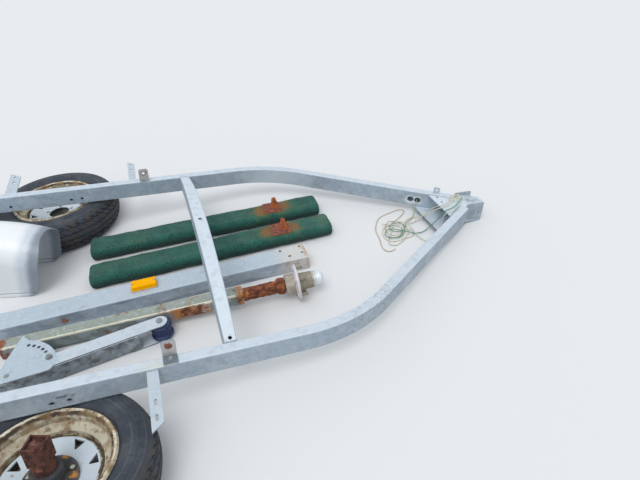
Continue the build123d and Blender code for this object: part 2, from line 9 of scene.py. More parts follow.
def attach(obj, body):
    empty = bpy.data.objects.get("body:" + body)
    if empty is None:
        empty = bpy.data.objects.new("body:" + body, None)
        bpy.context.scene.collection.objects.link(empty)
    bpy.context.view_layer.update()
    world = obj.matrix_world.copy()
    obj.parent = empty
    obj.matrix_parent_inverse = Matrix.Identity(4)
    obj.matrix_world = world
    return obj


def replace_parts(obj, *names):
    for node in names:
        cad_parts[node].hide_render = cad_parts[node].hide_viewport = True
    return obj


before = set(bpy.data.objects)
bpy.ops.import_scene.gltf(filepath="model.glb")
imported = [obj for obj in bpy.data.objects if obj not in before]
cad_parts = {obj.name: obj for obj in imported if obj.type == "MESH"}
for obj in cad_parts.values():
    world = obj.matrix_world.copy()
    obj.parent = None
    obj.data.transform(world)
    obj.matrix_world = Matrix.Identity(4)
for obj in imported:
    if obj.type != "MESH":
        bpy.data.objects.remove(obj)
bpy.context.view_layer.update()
scene = bpy.context.scene
rng = random.Random(7)

# The frame lies nose down. Metres, measured from the start of the rails' bend.
BEND = Vector((0.4801, 0.0321, 0))
NOSE_DOWN = math.radians(5.6)
NOSE_TIP = 1.062
REAR_END = -2.05
PLATE = 0.005
RAIL_TOP = 0.0762
RAIL_MIDDLE = 0.595
RAIL_INSIDE = 0.5745
RAIL_OUTSIDE = 0.617
FRONT_CROSS = -0.243
CROSS_MEMBERS = (FRONT_CROSS, -1.66, -2.03)
HANGER_HOLES = (-1.01, -0.76, -0.715)
FENDER_BRACKETS = ((-0.483, 0.0165), (-1.006, 0.0235))
BUNK_BRACKETS = (-0.428, -1.86)
BRACKET_LEG = 0.5775
BRACKET_HOLE = RAIL_TOP + 0.043
ORIGIN = BEND + Vector((0, 0, NOSE_TIP * math.sin(NOSE_DOWN) + PLATE))
FX = Vector((math.cos(NOSE_DOWN), 0, -math.sin(NOSE_DOWN)))
FY = Vector((0, 1, 0))
FZ = Vector((math.sin(NOSE_DOWN), 0, math.cos(NOSE_DOWN)))


def in_frame(x, y, z):
    return ORIGIN + FX * x + FY * y + FZ * z


def axes_matrix(place, x_dir, z_dir):
    z_dir = Vector(z_dir).normalized()
    x_dir = Vector(x_dir)
    x_dir = (x_dir - z_dir * x_dir.dot(z_dir)).normalized()
    m = Matrix((x_dir, z_dir.cross(x_dir), z_dir)).transposed().to_4x4()
    m.translation = place
    return m


def on_ground(x, y, z, turn, rise=0.0):
    """Matrix of a piece on the ground, turned to the left and with its nose raised."""
    a, b = math.radians(turn), math.radians(rise)
    x_dir = Vector((math.cos(a) * math.cos(b), math.sin(a) * math.cos(b), math.sin(b)))
    z_dir = Vector((-math.cos(a) * math.sin(b), -math.sin(a) * math.sin(b), math.cos(b)))
    return axes_matrix(BEND + Vector((x, y, z)), x_dir, z_dir)


def point(m, x, y=0.0, z=0.0):
    return m @ Vector((x, y, z))


def moved(m, x, y, z):
    return m @ Matrix.Translation((x, y, z))


def spun(m, degrees):
    return m @ Matrix.Rotation(math.radians(degrees), 4, "Z")


def polar(radius, degrees):
    """The x and y of a place at a radius and an angle."""
    return radius * math.cos(math.radians(degrees)), radius * math.sin(math.radians(degrees))


def angles(steps):
    return [2 * math.pi * k / steps for k in range(steps)]


def add(name, data):
    """A new object in the scene."""
    made = bpy.data.objects.new(name, data)
    scene.collection.objects.link(made)
    return made


# The loose pieces. Each has its own X along its length and its own Z up.
ARM = on_ground(-0.963, -0.3135, 0, 7.2)
TONGUE = on_ground(0.18, -0.036, 0, -1.7)
LEFT_BUNK = on_ground(0.362, 0.343, 0, -2.8)
RIGHT_BUNK = on_ground(0.36, 0.158, 0, -1.6)
AXLE = on_ground(0.084, -0.235, 0.0724, -5.8, 2.25)
FENDER = on_ground(-1.128, 0.375, 0, -18.0)
RIGHT_WHEEL_AXIS = (0.0785, 0.1077, 0.9911)
RIGHT_WHEEL = axes_matrix(BEND + Vector((-0.776, -0.789, 0.119)), (1, 0, 0), RIGHT_WHEEL_AXIS)
LEFT_WHEEL = Matrix.Translation(BEND + Vector((-0.859, 0.724, 0.0845)))
WHEELS = (RIGHT_WHEEL, LEFT_WHEEL)

# Places on them, in their own metres
TONGUE_HOLES = ((-0.019, 0.034), (-0.106, 0.031), (-0.019, -0.011), (-0.076, -0.018))
TONGUE_TOP = 0.065
LAMP = (-0.677, 0.004, 0.0898)
BUNK_TOP = 0.061
BUNK_TEES = ((LEFT_BUNK, 0.228), (RIGHT_BUNK, 0.236))
QUADRANT_TOP = 0.076
QUADRANT_ROW = 0.135
QUADRANT_TURNS = (7, 22, 31, 40, 49, 58)
ARM_TOP = 0.071
ROLLER = (0.51, 0, 0.008)
STUD_CIRCLE = 0.05715
STUB_END = 0.1435

# Camera
CAMERA_PLACE = BEND + Vector((-0.2779, -1.6977, 1.3759))
CAMERA_TURN = Euler([math.radians(turn) for turn in (53.679, 2.787, -19.621)])
camera = add("camera", bpy.data.cameras.new("camera"))
camera.matrix_world = Matrix.LocRotScale(CAMERA_PLACE, CAMERA_TURN, None)
camera.data.sensor_width = 36
camera.data.lens = 28.125
camera.data.clip_start = 0.05
scene.camera = camera


# Materials
def tone(r, g, b):
    """A colour of 0 to 255 as linear values."""
    levels = [c / 255 for c in (r, g, b)]
    return (*[c / 12.92 if c < 0.04045 else ((c + 0.055) / 1.055) ** 2.4 for c in levels], 1)


class Paint:
    """A procedural material: colours laid over each other through masks in the object's metres."""

    def __init__(self, name, base, rough=0.5, **inputs):
        self.material = bpy.data.materials.new(name)
        self.material.use_nodes = True
        self.tree = self.material.node_tree
        self.shader = self.tree.nodes["Principled BSDF"]
        for key, value in inputs.items():
            self.shader.inputs[key.replace("_", " ")].default_value = value
        self.coord = self.node("TexCoord").outputs["Object"]
        self.colour = self.material.diffuse_color = tone(*base)
        self.rough = rough
        self.height = 0.0

    def put(self, socket, value):
        """Links a socket to another one, or gives it a constant."""
        if isinstance(value, bpy.types.NodeSocket):
            self.tree.links.new(value, socket)
        else:
            socket.default_value = value

    def node(self, kind, inputs=(), **settings):
        made = self.tree.nodes.new("ShaderNode" + kind)
        for key, value in settings.items():
            setattr(made, key, value)
        for key, value in dict(inputs).items():
            self.put(made.inputs[key], value)
        return made

    def math(self, operation, a, b, c=0.0):
        return self.node("Math", {0: a, 1: b, 2: c}, operation=operation).outputs[0]

    def vector(self, operation, a, b=(0, 0, 0)):
        made = self.node("VectorMath", {0: a, 1: b}, operation=operation)
        return made.outputs["Vector" if operation == "SUBTRACT" else "Value"]

    def ramp(self, value, low, high):
        """Rises smoothly from 0 at low to 1 at high."""
        inputs = {"Value": value, "From Min": low, "From Max": high}
        return self.node("MapRange", inputs, interpolation_type="SMOOTHSTEP").outputs["Result"]

    def between(self, value, low, high, soft):
        """1 between low and high, with soft edges."""
        rise = self.ramp(value, low - soft, low + soft)
        return self.math("MULTIPLY", rise, self.ramp(value, high + soft, high - soft))

    def noise(self, scale, low=0.4, high=0.6, detail=4.0, stretch=(1, 1, 1), shift=0.0):
        inputs = {"Vector": self.coord, "Scale": stretch, "Location": (shift, shift, shift)}
        place = self.node("Mapping", inputs).outputs[0]
        made = self.node("TexNoise", {"Vector": place, "Scale": scale, "Detail": detail})
        return self.ramp(made.outputs["Fac"], low, high)

    def cells(self, scale, low, high):
        """Cells of different strength, like spangles."""
        made = self.node("TexVoronoi", {"Vector": self.coord, "Scale": scale})
        split = self.node("SeparateColor", {0: made.outputs["Color"]})
        return self.ramp(split.outputs[0], low, high)

    def top(self, low=0.4, high=0.9):
        """Faces that look up, by the height of their normal."""
        normal = self.node("NewGeometry").outputs["Normal"]
        return self.ramp(self.node("SeparateXYZ", {0: normal}).outputs[2], low, high)

    def sides(self):
        """Faces that look sideways or down."""
        return self.top(0.5, 0.2)

    def spot(self, place, radius, ragged=0.5, scale=60.0):
        """A stain round a place, with a ragged edge."""
        away = self.vector("DISTANCE", self.coord, place)
        reach = self.math("MULTIPLY_ADD", self.noise(scale, 0.2, 0.8), radius * ragged, away)
        return self.ramp(reach, radius * (1 + 0.5 * ragged), radius * 0.55)

    def along(self, place, direction, start, end, ragged=0.0, soft=0.004):
        """A band between two distances from a place, along a direction."""
        far = self.vector("DOT_PRODUCT", self.vector("SUBTRACT", self.coord, place), direction)
        far = self.math("MULTIPLY_ADD", self.noise(45, 0.2, 0.8), ragged, far)
        return self.between(far, start, end, soft)

    def band(self, m, start, end, ragged=0.0, soft=0.004):
        """A band between two distances along a piece's own X axis."""
        return self.along(m.translation, m.col[0].xyz, start, end, ragged, soft)

    def ring(self, m, inner, outer, low=-1.0, high=1.0, ragged=0.0, soft=0.002):
        """A band of radii and heights about the matrix's Z axis."""
        away = self.vector("SUBTRACT", self.coord, m.translation)
        x, y, height = [self.vector("DOT_PRODUCT", away, m.col[axis].xyz) for axis in range(3)]
        radius = self.vector("LENGTH", self.node("CombineXYZ", {0: x, 1: y}).outputs[0])
        radius = self.math("MULTIPLY_ADD", self.noise(60, 0.2, 0.8, 6), ragged, radius)
        mask = self.between(radius, inner, outer, soft)
        return self.math("MULTIPLY", mask, self.between(height, low, high, soft))

    def over(self, colour, *masks, rough=None, amount=1.0, raise_by=0.0):
        """Lays a colour over what is there, through the product of the masks."""
        mask = masks[0]
        for other in masks[1:]:
            mask = self.math("MULTIPLY", mask, other)
        if raise_by:
            self.height = self.math("MULTIPLY_ADD", mask, raise_by, self.height)
        mask = self.math("MULTIPLY", mask, amount)
        colours = {0: mask, 6: self.colour, 7: tone(*colour)}
        self.colour = self.node("Mix", colours, data_type="RGBA").outputs[2]
        if rough is not None:
            self.rough = self.node("Mix", {0: mask, 2: self.rough, 3: rough}).outputs[0]

    def grain(self, scale, height, detail=3.0):
        """Adds relief of a height in metres."""
        relief = self.noise(scale, 0.25, 0.75, detail)
        self.height = self.math("MULTIPLY_ADD", relief, height, self.height)

    def done(self):
        """The finished material."""
        bump = self.node("Bump", {"Height": self.height, "Distance": 1.0, "Strength": 0.9})
        self.put(self.shader.inputs["Base Color"], self.colour)
        self.put(self.shader.inputs["Roughness"], self.rough)
        self.put(self.shader.inputs["Normal"], bump.outputs[0])
        return self.material


RUST = (150, 90, 62)
DARK_RUST = (92, 56, 44)
ORANGE_RUST = (204, 118, 56)


def rust(p, *masks, amount=1.0):
    """Rust through the masks: brown, with dark scale and orange bloom."""
    p.over(RUST, *masks, rough=0.92, amount=amount, raise_by=0.0002)
    p.over(DARK_RUST, *masks, p.noise(70, 0.47, 0.67, 7), rough=0.95, amount=0.8 * amount)
    p.over(ORANGE_RUST, *masks, p.noise(120, 0.52, 0.68, 6), amount=0.8 * amount)


def zinc(name, top=(216, 226, 235), side=(176, 191, 204), dirt=0.5):
    """Weathered hot-dip zinc, spangled, with painted light on faces that look up and painted shade on the
    blue-grey sides.
    """
    p = Paint(name, side, Metallic=0.15)
    p.over((142, 157, 170), p.cells(75, 0.3, 1.0), amount=0.35)
    p.over((206, 217, 226), p.cells(48, 0.55, 1.0), amount=0.35, rough=0.4)
    p.over((206, 216, 222), p.noise(11, 0.52, 0.72, 6, shift=4.0), amount=0.45)
    p.over((128, 141, 152), p.noise(9, 0.5, 0.75, 6), amount=0.7 * dirt)
    p.over((96, 106, 114), p.noise(150, 0.6, 0.72, 6), amount=0.5 * dirt)
    # Painted light: faces that look up get the lit top colour, pale spangles and bright specks. The sides
    # keep the shaded side colour.
    p.over(top, p.top(0.35, 0.85), p.noise(30, 0.0, 0.35, 6), rough=0.62)
    p.over((184, 197, 208), p.top(), p.cells(60, 0.5, 1.0), amount=0.35)
    p.over((238, 245, 250), p.top(), p.noise(120, 0.54, 0.75, 8), amount=0.6)
    p.over((132, 138, 142), p.top(), p.noise(22, 0.6, 0.78, 9), amount=0.5 * dirt)
    p.over((100, 98, 94), p.noise(240, 0.68, 0.74, 2), amount=0.5 * dirt)
    p.grain(170, 0.0003, 5)
    return p


def rail_zinc():
    """The rails: shaded holes, dark chips, painted light on the far bend's sides, a scuffed near bend, and
    lichen by a bracket.
    """
    p = zinc("rail_zinc")
    for x in HANGER_HOLES:
        for side in (-1, 1):
            hole = in_frame(x, side * RAIL_OUTSIDE, 0.026)
            p.over((88, 90, 92), p.spot(hole, 0.016, 0.9), amount=0.5)
    for x, z, length, tall in ((-0.728, 0.048, 0.014, 0.0045), (-0.698, 0.046, 0.005, 0.002)):
        chip = in_frame(x, -0.615, z)
        flat = p.along(chip, FX, -length, length, 0.012)
        high = p.along(chip, FZ, -tall, tall, 0.006, 0.002)
        p.over((76, 78, 78), flat, high, p.along(chip, FY, -0.002, 0.004), amount=0.85)
    # Painted light on the sides of the far rail's bend.
    lit_far_bend = p.spot(in_frame(0.22, 0.56, 0.03), 0.26, 0.5, 8)
    p.over((226, 238, 246), lit_far_bend, p.sides(), amount=0.6)
    for x, y in ((0.812, 0.135), (0.78, 0.148)):
        wire_hole_rim = p.spot(BEND + Vector((x, y, 0.061)), 0.032, 0.4, 90)
        p.over((246, 250, 252), wire_hole_rim, p.sides(), amount=0.85)
    cream_lichen = p.spot(in_frame(-0.478, -0.6, 0.076), 0.055, 0.9, 30)
    p.over((222, 224, 200), cream_lichen, p.top(), amount=0.45)
    green_lichen = p.spot(in_frame(-0.49, -0.617, 0.058), 0.036, 0.9, 40)
    p.over((164, 178, 148), green_lichen, p.sides(), amount=0.5)
    scuffed_bend = p.spot(in_frame(0.3, -0.58, 0.03), 0.22, 0.6, 12)
    p.over((92, 100, 108), scuffed_bend, p.noise(95, 0.5, 0.62, 6), amount=0.32)
    p.over((232, 238, 240), scuffed_bend, p.noise(120, 0.54, 0.7, 6, shift=2.0), amount=0.4)
    rust(p, p.spot(in_frame(0.9, -0.06, 0.03), 0.03, 0.9), amount=0.35)
    return p.done()


def cross_zinc():
    """The front cross-member and the upper gusset, with a patch of painted shade at the nose."""
    p = zinc("cross_zinc", top=(224, 234, 242), side=(176, 190, 202), dirt=0.35)
    # Painted shade on the gusset at the nose.
    nose_shade = p.spot(BEND + Vector((1.025, 0.01, 0.095)), 0.062, 0.9, 30)
    p.over((138, 152, 160), nose_shade, p.noise(60, 0.25, 0.6, 6), amount=0.8)
    p.over((120, 110, 104), p.spot(in_frame(FRONT_CROSS, 0.002, 0.181), 0.013, 0.6), amount=0.5)
    return p.done()


def loose_zinc():
    """The tongue beam with a painted highlight on its top edge and a stained end, and the quadrant with
    painted shade round its holes.
    """
    p = zinc("loose_zinc", top=(196, 209, 219), side=(168, 184, 198), dirt=0.7)
    p.over((104, 110, 122), p.sides(), p.noise(18, 0.5, 0.68, 7, (0.35, 1, 2)), amount=0.55)
    p.over((206, 214, 222), p.sides(), p.noise(24, 0.56, 0.7, 6, (0.4, 1, 2), 5.0), amount=0.45)
    # A painted highlight along the tongue beam's top near edge.
    side_face = p.along(point(TONGUE, 0, -0.0508), TONGUE.col[1].xyz, -0.002, 0.0035, 0.0, 0.001)
    under_top = p.along(point(TONGUE, 0, 0, 0.0635), FZ, -0.006, 0.01)
    p.over((238, 244, 248), side_face, p.noise(30, 0.2, 0.5, 4), under_top, amount=0.8)
    p.over((236, 226, 210), p.band(TONGUE, -0.1, 0.02, 0.03, 0.05), amount=0.55)
    rusty_end = p.band(TONGUE, -0.004, 0.02, 0.016, 0.006)
    p.over((214, 158, 104), rusty_end, p.noise(40, 0.3, 0.6, 4), amount=0.7)
    p.over((170, 112, 72), rusty_end, p.noise(95, 0.52, 0.68, 6), amount=0.6)
    drip = p.band(TONGUE, -0.11, -0.03, 0.02, 0.01)
    p.over((178, 150, 122), drip, p.sides(), p.noise(40, 0.45, 0.65, 4), amount=0.6)
    for x, y in TONGUE_HOLES:
        p.over((178, 128, 88), p.spot(point(TONGUE, x, y, TONGUE_TOP), 0.01, 0.8), amount=0.5)
    # Painted shade round the quadrant's holes and under the pivot head.
    for x, y in [(0, 0)] + [polar(QUADRANT_ROW, turn) for turn in QUADRANT_TURNS]:
        p.over((44, 48, 54), p.spot(point(ARM, x, y, QUADRANT_TOP), 0.0085, 0.2), amount=0.9)
    rust(p, p.spot(point(TONGUE, -0.99, -0.049, 0.03), 0.022, 0.9), amount=0.8)
    return p.done()


@cache
def arm_zinc():
    """The winch arm, with earth on its sides, which are also painted darker than its top as painted shade.
    """
    p = zinc("arm_zinc", top=(212, 222, 230), side=(140, 148, 156), dirt=0.9)
    p.over((88, 84, 80), p.sides(), p.noise(26, 0.45, 0.66, 8), amount=0.75, rough=0.8)
    p.over((172, 166, 154), p.sides(), p.noise(60, 0.58, 0.72, 6), amount=0.5)
    return p.done()


def bracket_zinc():
    """The bunk brackets, with rust round their holes and dark feet."""
    p = zinc("bracket_zinc", top=(136, 150, 158), side=(206, 200, 198), dirt=0.6)
    foot = p.along(in_frame(0, 0, RAIL_TOP), FZ, -0.004, 0.008)
    p.over((92, 108, 118), foot, p.top(), amount=0.6)
    for x in BUNK_BRACKETS:
        for side in (-1, 1):
            hole = in_frame(x, side * BRACKET_LEG, BRACKET_HOLE)
            rust(p, p.spot(hole, 0.0165, 0.7, 110), amount=0.85)
            corner = in_frame(x, side * BRACKET_LEG, 0.08)
            p.over((120, 88, 70), p.spot(corner, 0.016, 1.1), amount=0.35)
    return p.done()


@cache
def axle_paint():
    """The axle: a painted highlight along its near top edge, rusty bands and spots, and a spindle that is
    rust all over.
    """
    p = zinc("axle_paint", top=(160, 168, 156), side=(134, 144, 140), dirt=1.0)
    # A painted highlight along the axle's near top edge.
    edge = point(AXLE, 0, -0.0254, 0.0254)
    across = p.along(edge, AXLE.col[1].xyz, -0.001, 0.006, 0.002, 0.001)
    upwards = p.along(edge, AXLE.col[2].xyz, -0.006, 0.004, 0.002, 0.002)
    p.over((255, 250, 226), across, upwards, amount=0.95)
    for start, end, amount in ((-0.226, -0.2, 1.0), (-0.515, -0.495, 0.5), (-1.115, -1.07, 0.9)):
        band = p.band(AXLE, start, end, 0.04, 0.012)
        rust(p, band, p.noise(18, 0.3, 0.5, 5), amount=amount)
    spindle = p.band(AXLE, -0.219, -0.05)
    rust(p, spindle)
    p.over((74, 42, 38), spindle, p.noise(30, 0.46, 0.6, 6, (1, 3, 3)), amount=0.75)
    p.over((214, 134, 70), spindle, p.noise(44, 0.56, 0.68, 6, shift=3.0), amount=0.7)
    square_end = p.band(AXLE, -0.233, -0.219, 0.006, 0.01)
    p.over((214, 146, 76), square_end, p.noise(50, 0.4, 0.55, 6), amount=0.9)
    stained = p.band(AXLE, -0.47, -0.33, 0.05, 0.012)
    p.over((196, 124, 60), stained, p.sides(), p.noise(20, 0.3, 0.5, 5), amount=0.9, rough=0.9)
    rusted = p.band(AXLE, -0.44, -0.35, 0.04, 0.01)
    p.over((112, 66, 44), rusted, p.sides(), p.noise(26, 0.36, 0.54, 6), amount=0.95, rough=0.95)
    p.over((176, 110, 62), rusted, p.noise(40, 0.5, 0.64, 6), amount=0.6)
    spots = ((-0.69, 0.02, 0.0254, 0.016), (-0.66, 0.022, 0.0254, 0.011), (-0.735, -0.0254, -0.01, 0.018))
    for x, y, z, radius in spots:
        rust(p, p.spot(point(AXLE, x, y, z), radius, 0.8), amount=0.7)
    p.grain(220, 0.0005, 6)
    return p.done()


@cache
def scale_rust():
    """Thick dark scale on the cut stub."""
    p = Paint("scale_rust", (104, 64, 54), rough=0.92)
    p.over((64, 38, 34), p.noise(40, 0.42, 0.64, 8))
    p.over((168, 92, 52), p.noise(95, 0.58, 0.72, 8), amount=0.6)
    p.over((150, 112, 96), p.top(0.6, 0.95), p.noise(60, 0.5, 0.7, 6), amount=0.7)
    p.grain(150, 0.0012, 8)
    return p.done()


def tee_rust():
    """Even rust on the bunk tees, paler on top and more orange on the sides."""
    p = Paint("tee_rust", (146, 88, 72), rough=0.9)
    p.over((106, 62, 52), p.noise(60, 0.44, 0.64, 8))
    p.over((200, 112, 60), p.top(0.6, 0.3), p.noise(50, 0.3, 0.55, 6))
    p.over((188, 140, 124), p.top(0.6, 0.95), p.noise(110, 0.55, 0.72, 8), amount=0.7)
    p.grain(200, 0.0008, 8)
    return p.done()


@cache
def rubber():
    """Weathered tyre rubber, with rings of painted shade and painted highlight on the sidewalls and dust
    in the treads.
    """
    p = Paint("rubber", (62, 68, 78), rough=0.8)
    p.over((92, 96, 102), p.noise(14, 0.42, 0.72, 7), amount=0.6)
    # Painted shade in a sidewall groove and painted highlights on the ridges either side of it.
    rings = (
        (0.2205, 0.0012, (112, 118, 126)),
        (0.239, 0.0014, (44, 48, 56)),
        (0.256, 0.0012, (104, 108, 114)),
    )
    for wheel in WHEELS:
        for radius, half, colour in rings:
            ring = p.ring(wheel, radius - half, radius + half, 0.05, 0.2)
            p.over(colour, ring, p.noise(10, 0.3, 0.55), amount=0.6)
        tread = p.ring(wheel, 0.262, 0.3, -0.1, 0.2)
        p.over((86, 78, 70), tread, p.noise(24, 0.35, 0.65, 6), amount=0.6)
    p.over((108, 104, 98), p.top(0.5, 0.95), p.noise(40, 0.48, 0.78, 8), amount=0.4)
    p.over((30, 32, 36), p.noise(70, 0.58, 0.7, 8), amount=0.5)
    p.grain(260, 0.0005, 6)
    return p.done()


def rim_paint():
    """Old cream paint with rusty seams, painted shade in the recess inside the lip, and pale blue-grey
    discs.
    """
    p = Paint("rim_paint", (212, 203, 180))
    p.over((186, 176, 152), p.noise(16, 0.4, 0.62, 6), amount=0.7)
    for wheel in WHEELS:
        disc = p.ring(wheel, -0.01, 0.131, ragged=0.004)
        p.over((218, 230, 240), disc, amount=0.95, rough=0.4)
        p.over((246, 234, 208), p.ring(wheel, 0.173, 0.2, ragged=0.004), amount=0.8)
        p.over((176, 134, 88), p.ring(wheel, 0.173, 0.2), p.noise(46, 0.52, 0.66, 7), amount=0.6)
        # Painted shade in the recess between the lip and the barrel.
        groove = p.ring(wheel, 0.1665, 0.1745, -0.1, 0.2, 0.005)
        p.over((62, 46, 38), groove, p.noise(9, 0.2, 0.36, 3), amount=0.95, rough=0.9)
        seam = p.ring(wheel, 0.133, 0.1445, -0.05, 0.02, 0.008)
        p.over((88, 70, 48), seam, p.noise(14, 0.3, 0.46, 4), amount=0.9, rough=0.9)
        barrel = p.ring(wheel, 0.14, 0.2)
        p.over((154, 130, 96), barrel, p.noise(26, 0.42, 0.6, 8), amount=0.8)
        p.over((128, 92, 62), barrel, p.noise(44, 0.55, 0.66, 8), amount=0.8)
        p.over((96, 74, 56), barrel, p.noise(70, 0.62, 0.7, 7), amount=0.7)
        p.over((150, 108, 76), p.ring(wheel, -0.01, 0.13), p.noise(60, 0.68, 0.74, 7), amount=0.6)
    p.grain(180, 0.0006, 6)
    return p.done()


def hub_metal():
    """Both hubs: a pale flange and bright cap with a painted glint on the axle, a dark one with pale studs
    in the wheel.
    """
    p = Paint("hub_metal", (168, 158, 144), rough=0.6, Metallic=0.2)
    rust(p, p.noise(80, 0.56, 0.68, 8), amount=0.7)
    flange = p.band(AXLE, -0.0145, 0.0015, soft=0.001)
    p.over((232, 226, 232), flange, p.noise(30, 0.2, 0.36, 5), amount=0.9)
    p.over((198, 190, 174), p.band(AXLE, -0.06, -0.0145, 0.004), p.noise(40, 0.35, 0.6), amount=0.8)
    p.over((148, 142, 120), p.band(AXLE, 0.002, 0.061), p.noise(50, 0.3, 0.5), amount=0.7)
    # A painted glint: a near-white band where the nose meets the cap.
    cap_glint = p.band(AXLE, 0.059, 0.07, 0.003)
    p.over((240, 242, 240), cap_glint, p.noise(90, 0.3, 0.5), amount=0.85, rough=0.3)
    cap = p.band(AXLE, 0.07, 0.12)
    p.over((238, 245, 250), cap, p.noise(60, 0.1, 0.35), amount=0.95, rough=0.35)
    dark_hub = p.spot(RIGHT_WHEEL.translation, 0.11, 0.1)
    p.over((62, 64, 72), dark_hub, amount=0.95, rough=0.75)
    p.over((96, 84, 72), dark_hub, p.noise(60, 0.5, 0.66, 7), amount=0.6)
    for radius, turn, size in ((0.066, 62, 0.012), (0.06, -8, 0.016), (0.064, 150, 0.01)):
        patch = p.spot(point(RIGHT_WHEEL, *polar(radius, turn), 0.006), size, 0.9, 90)
        p.over((222, 154, 70), patch, amount=0.85)
    for k in range(5):
        stud = point(RIGHT_WHEEL, *polar(STUD_CIRCLE, 15 + 72 * k), 0.0105)
        p.over((206, 204, 190), p.spot(stud, 0.0085, 0.3), amount=0.95, rough=0.5)
    p.grain(200, 0.0006, 6)
    return p.done()


@cache
def carpet():
    """Green carpet, painted light on top and painted shade on the sides, with rust run into it round the
    tees and a faded end.
    """
    p = Paint("carpet", (24, 96, 84), rough=1.0, Sheen_Weight=0.12, Sheen_Roughness=0.6)
    # Painted light: a lighter green on faces that look up.
    p.over((46, 124, 108), p.top(0.2, 0.95), p.noise(22, 0.25, 0.75, 6), amount=0.95)
    p.over((92, 122, 90), p.top(0.5, 1.0), p.noise(9, 0.48, 0.75, 6, (1, 3, 1)), amount=0.5)
    p.over((14, 44, 40), p.noise(150, 0.48, 0.64, 3), amount=0.6)
    p.over((104, 128, 116), p.noise(210, 0.6, 0.72, 3, shift=5.0), amount=0.4)
    # Painted shade: a dark green on faces that look sideways or down.
    p.over((12, 46, 42), p.top(0.3, -0.1), amount=0.6)
    stains = ((0.085, (100, 122, 56), 0.34), (0.068, (140, 118, 40), 0.42), (0.0527, (172, 98, 34), 0.6))
    for m, back in BUNK_TEES:
        for x in (-0.055, 0.045):
            for radius, colour, amount in stains:
                stain = p.spot(point(m, x - back, 0, BUNK_TOP), radius, 0.5, 30)
                p.over(colour, stain, p.noise(70, 0.05, 0.5, 5), amount=amount)
    faded = p.spot(point(RIGHT_BUNK, -0.035, 0.01, BUNK_TOP), 0.075, 0.9, 30)
    p.over((132, 150, 108), faded, p.noise(60, 0.3, 0.6, 5), amount=0.4)
    p.grain(520, 0.0022, 2)
    p.grain(60, 0.002, 4)
    return p.done()


def amber():
    """The lamp's amber lens, ribbed inside, with a faint painted glow."""
    # Painted light: a faint amber glow from the lens.
    painted_glow = {"Emission_Color": tone(255, 170, 0), "Emission_Strength": 0.1}
    p = Paint("amber", (255, 176, 0), rough=0.55, Specular_IOR_Level=0.04, **painted_glow)
    p.over((255, 206, 40), p.top(0.5, 1.0), p.noise(60, 0.4, 0.7), amount=0.5)
    ribs = p.node("TexWave", {"Vector": p.coord, "Scale": 60.0})
    p.height = p.math("MULTIPLY", ribs.outputs["Fac"], 0.0003)
    return p.done()


def lamp_back():
    p = Paint("lamp_back", (188, 190, 188), rough=0.6)
    p.over((110, 104, 96), p.noise(60, 0.5, 0.7), amount=0.5)
    p.grain(300, 0.0003)
    return p.done()


@cache
def roller_rubber():
    """Blue rubber, paler on top."""
    p = Paint("roller_rubber", (28, 44, 88), rough=0.42)
    p.over((66, 82, 124), p.noise(40, 0.5, 0.75, 6), amount=0.6, rough=0.65)
    p.over((84, 108, 158), p.top(0.5, 0.95), p.noise(90, 0.4, 0.7, 4), amount=0.5)
    p.over((16, 24, 52), p.noise(120, 0.55, 0.7, 6), amount=0.5)
    p.grain(240, 0.0004, 5)
    return p.done()


@cache
def bolt_zinc():
    p = Paint("bolt_zinc", (160, 167, 170), rough=0.4, Metallic=0.5)
    rust(p, p.noise(150, 0.54, 0.68, 6), amount=0.5)
    p.grain(300, 0.0003)
    return p.done()


@cache
def rusty_bolt():
    p = Paint("rusty_bolt", (132, 92, 72), rough=0.85, Metallic=0.2)
    rust(p, p.noise(110, 0.4, 0.6, 6), amount=0.9)
    p.grain(300, 0.0005)
    return p.done()


def fender_shell():
    """Bright plated sheet, with painted shade where its end turns and rolls in and along the crease above
    the bead at its foot.
    """
    p = Paint("fender_shell", (252, 254, 255), rough=0.38, Coat_Weight=0.1)
    p.over((240, 245, 251), p.noise(5, 0.4, 0.7, 3), amount=0.4)
    lean = math.radians(15.5)
    way = FENDER.col[0].xyz * math.cos(lean) - FENDER.col[2].xyz * math.sin(lean)
    end = point(FENDER, 0.25)
    # Painted shade, growing towards the end, where the shell turns round and rolls in.
    p.over((176, 190, 210), p.along(end, way, -0.075, 0.1, 0.01, 0.02), amount=0.5)
    p.over((106, 118, 132), p.along(end, way, -0.038, 0.1, 0.006, 0.016), amount=0.75)
    # A line of painted shade in the crease above the bead at the foot.
    p.over((96, 108, 126), p.ring(FENDER, -1, 2, 0.0175, 0.021, soft=0.001), amount=0.8)
    p.over((150, 152, 156), p.noise(30, 0.68, 0.76, 9, (1, 1, 3)), amount=0.4)
    p.grain(60, 0.0003, 5)
    return p.done()


def weld_metal():
    p = Paint("weld_metal", (186, 196, 204), rough=0.55, Metallic=0.2)
    p.over((134, 142, 148), p.noise(220, 0.45, 0.6, 4), amount=0.7)
    p.grain(400, 0.0004)
    return p.done()


WIRE_COLOURS = {
    "cream": (232, 224, 188),
    "green": (92, 150, 128),
    "sage": (158, 172, 140),
    "white": (214, 214, 198),
    "tan": (206, 190, 158),
}


@cache
def wire_paint(name):
    """A strand's sleeve, with darker dirt of its own colour."""
    colour = WIRE_COLOURS[name]
    p = Paint("wire_" + name, colour)
    p.over([int(c * 0.66) for c in colour], p.noise(60, 0.5, 0.72, 6), amount=0.6)
    p.grain(300, 0.0003)
    return p.done()


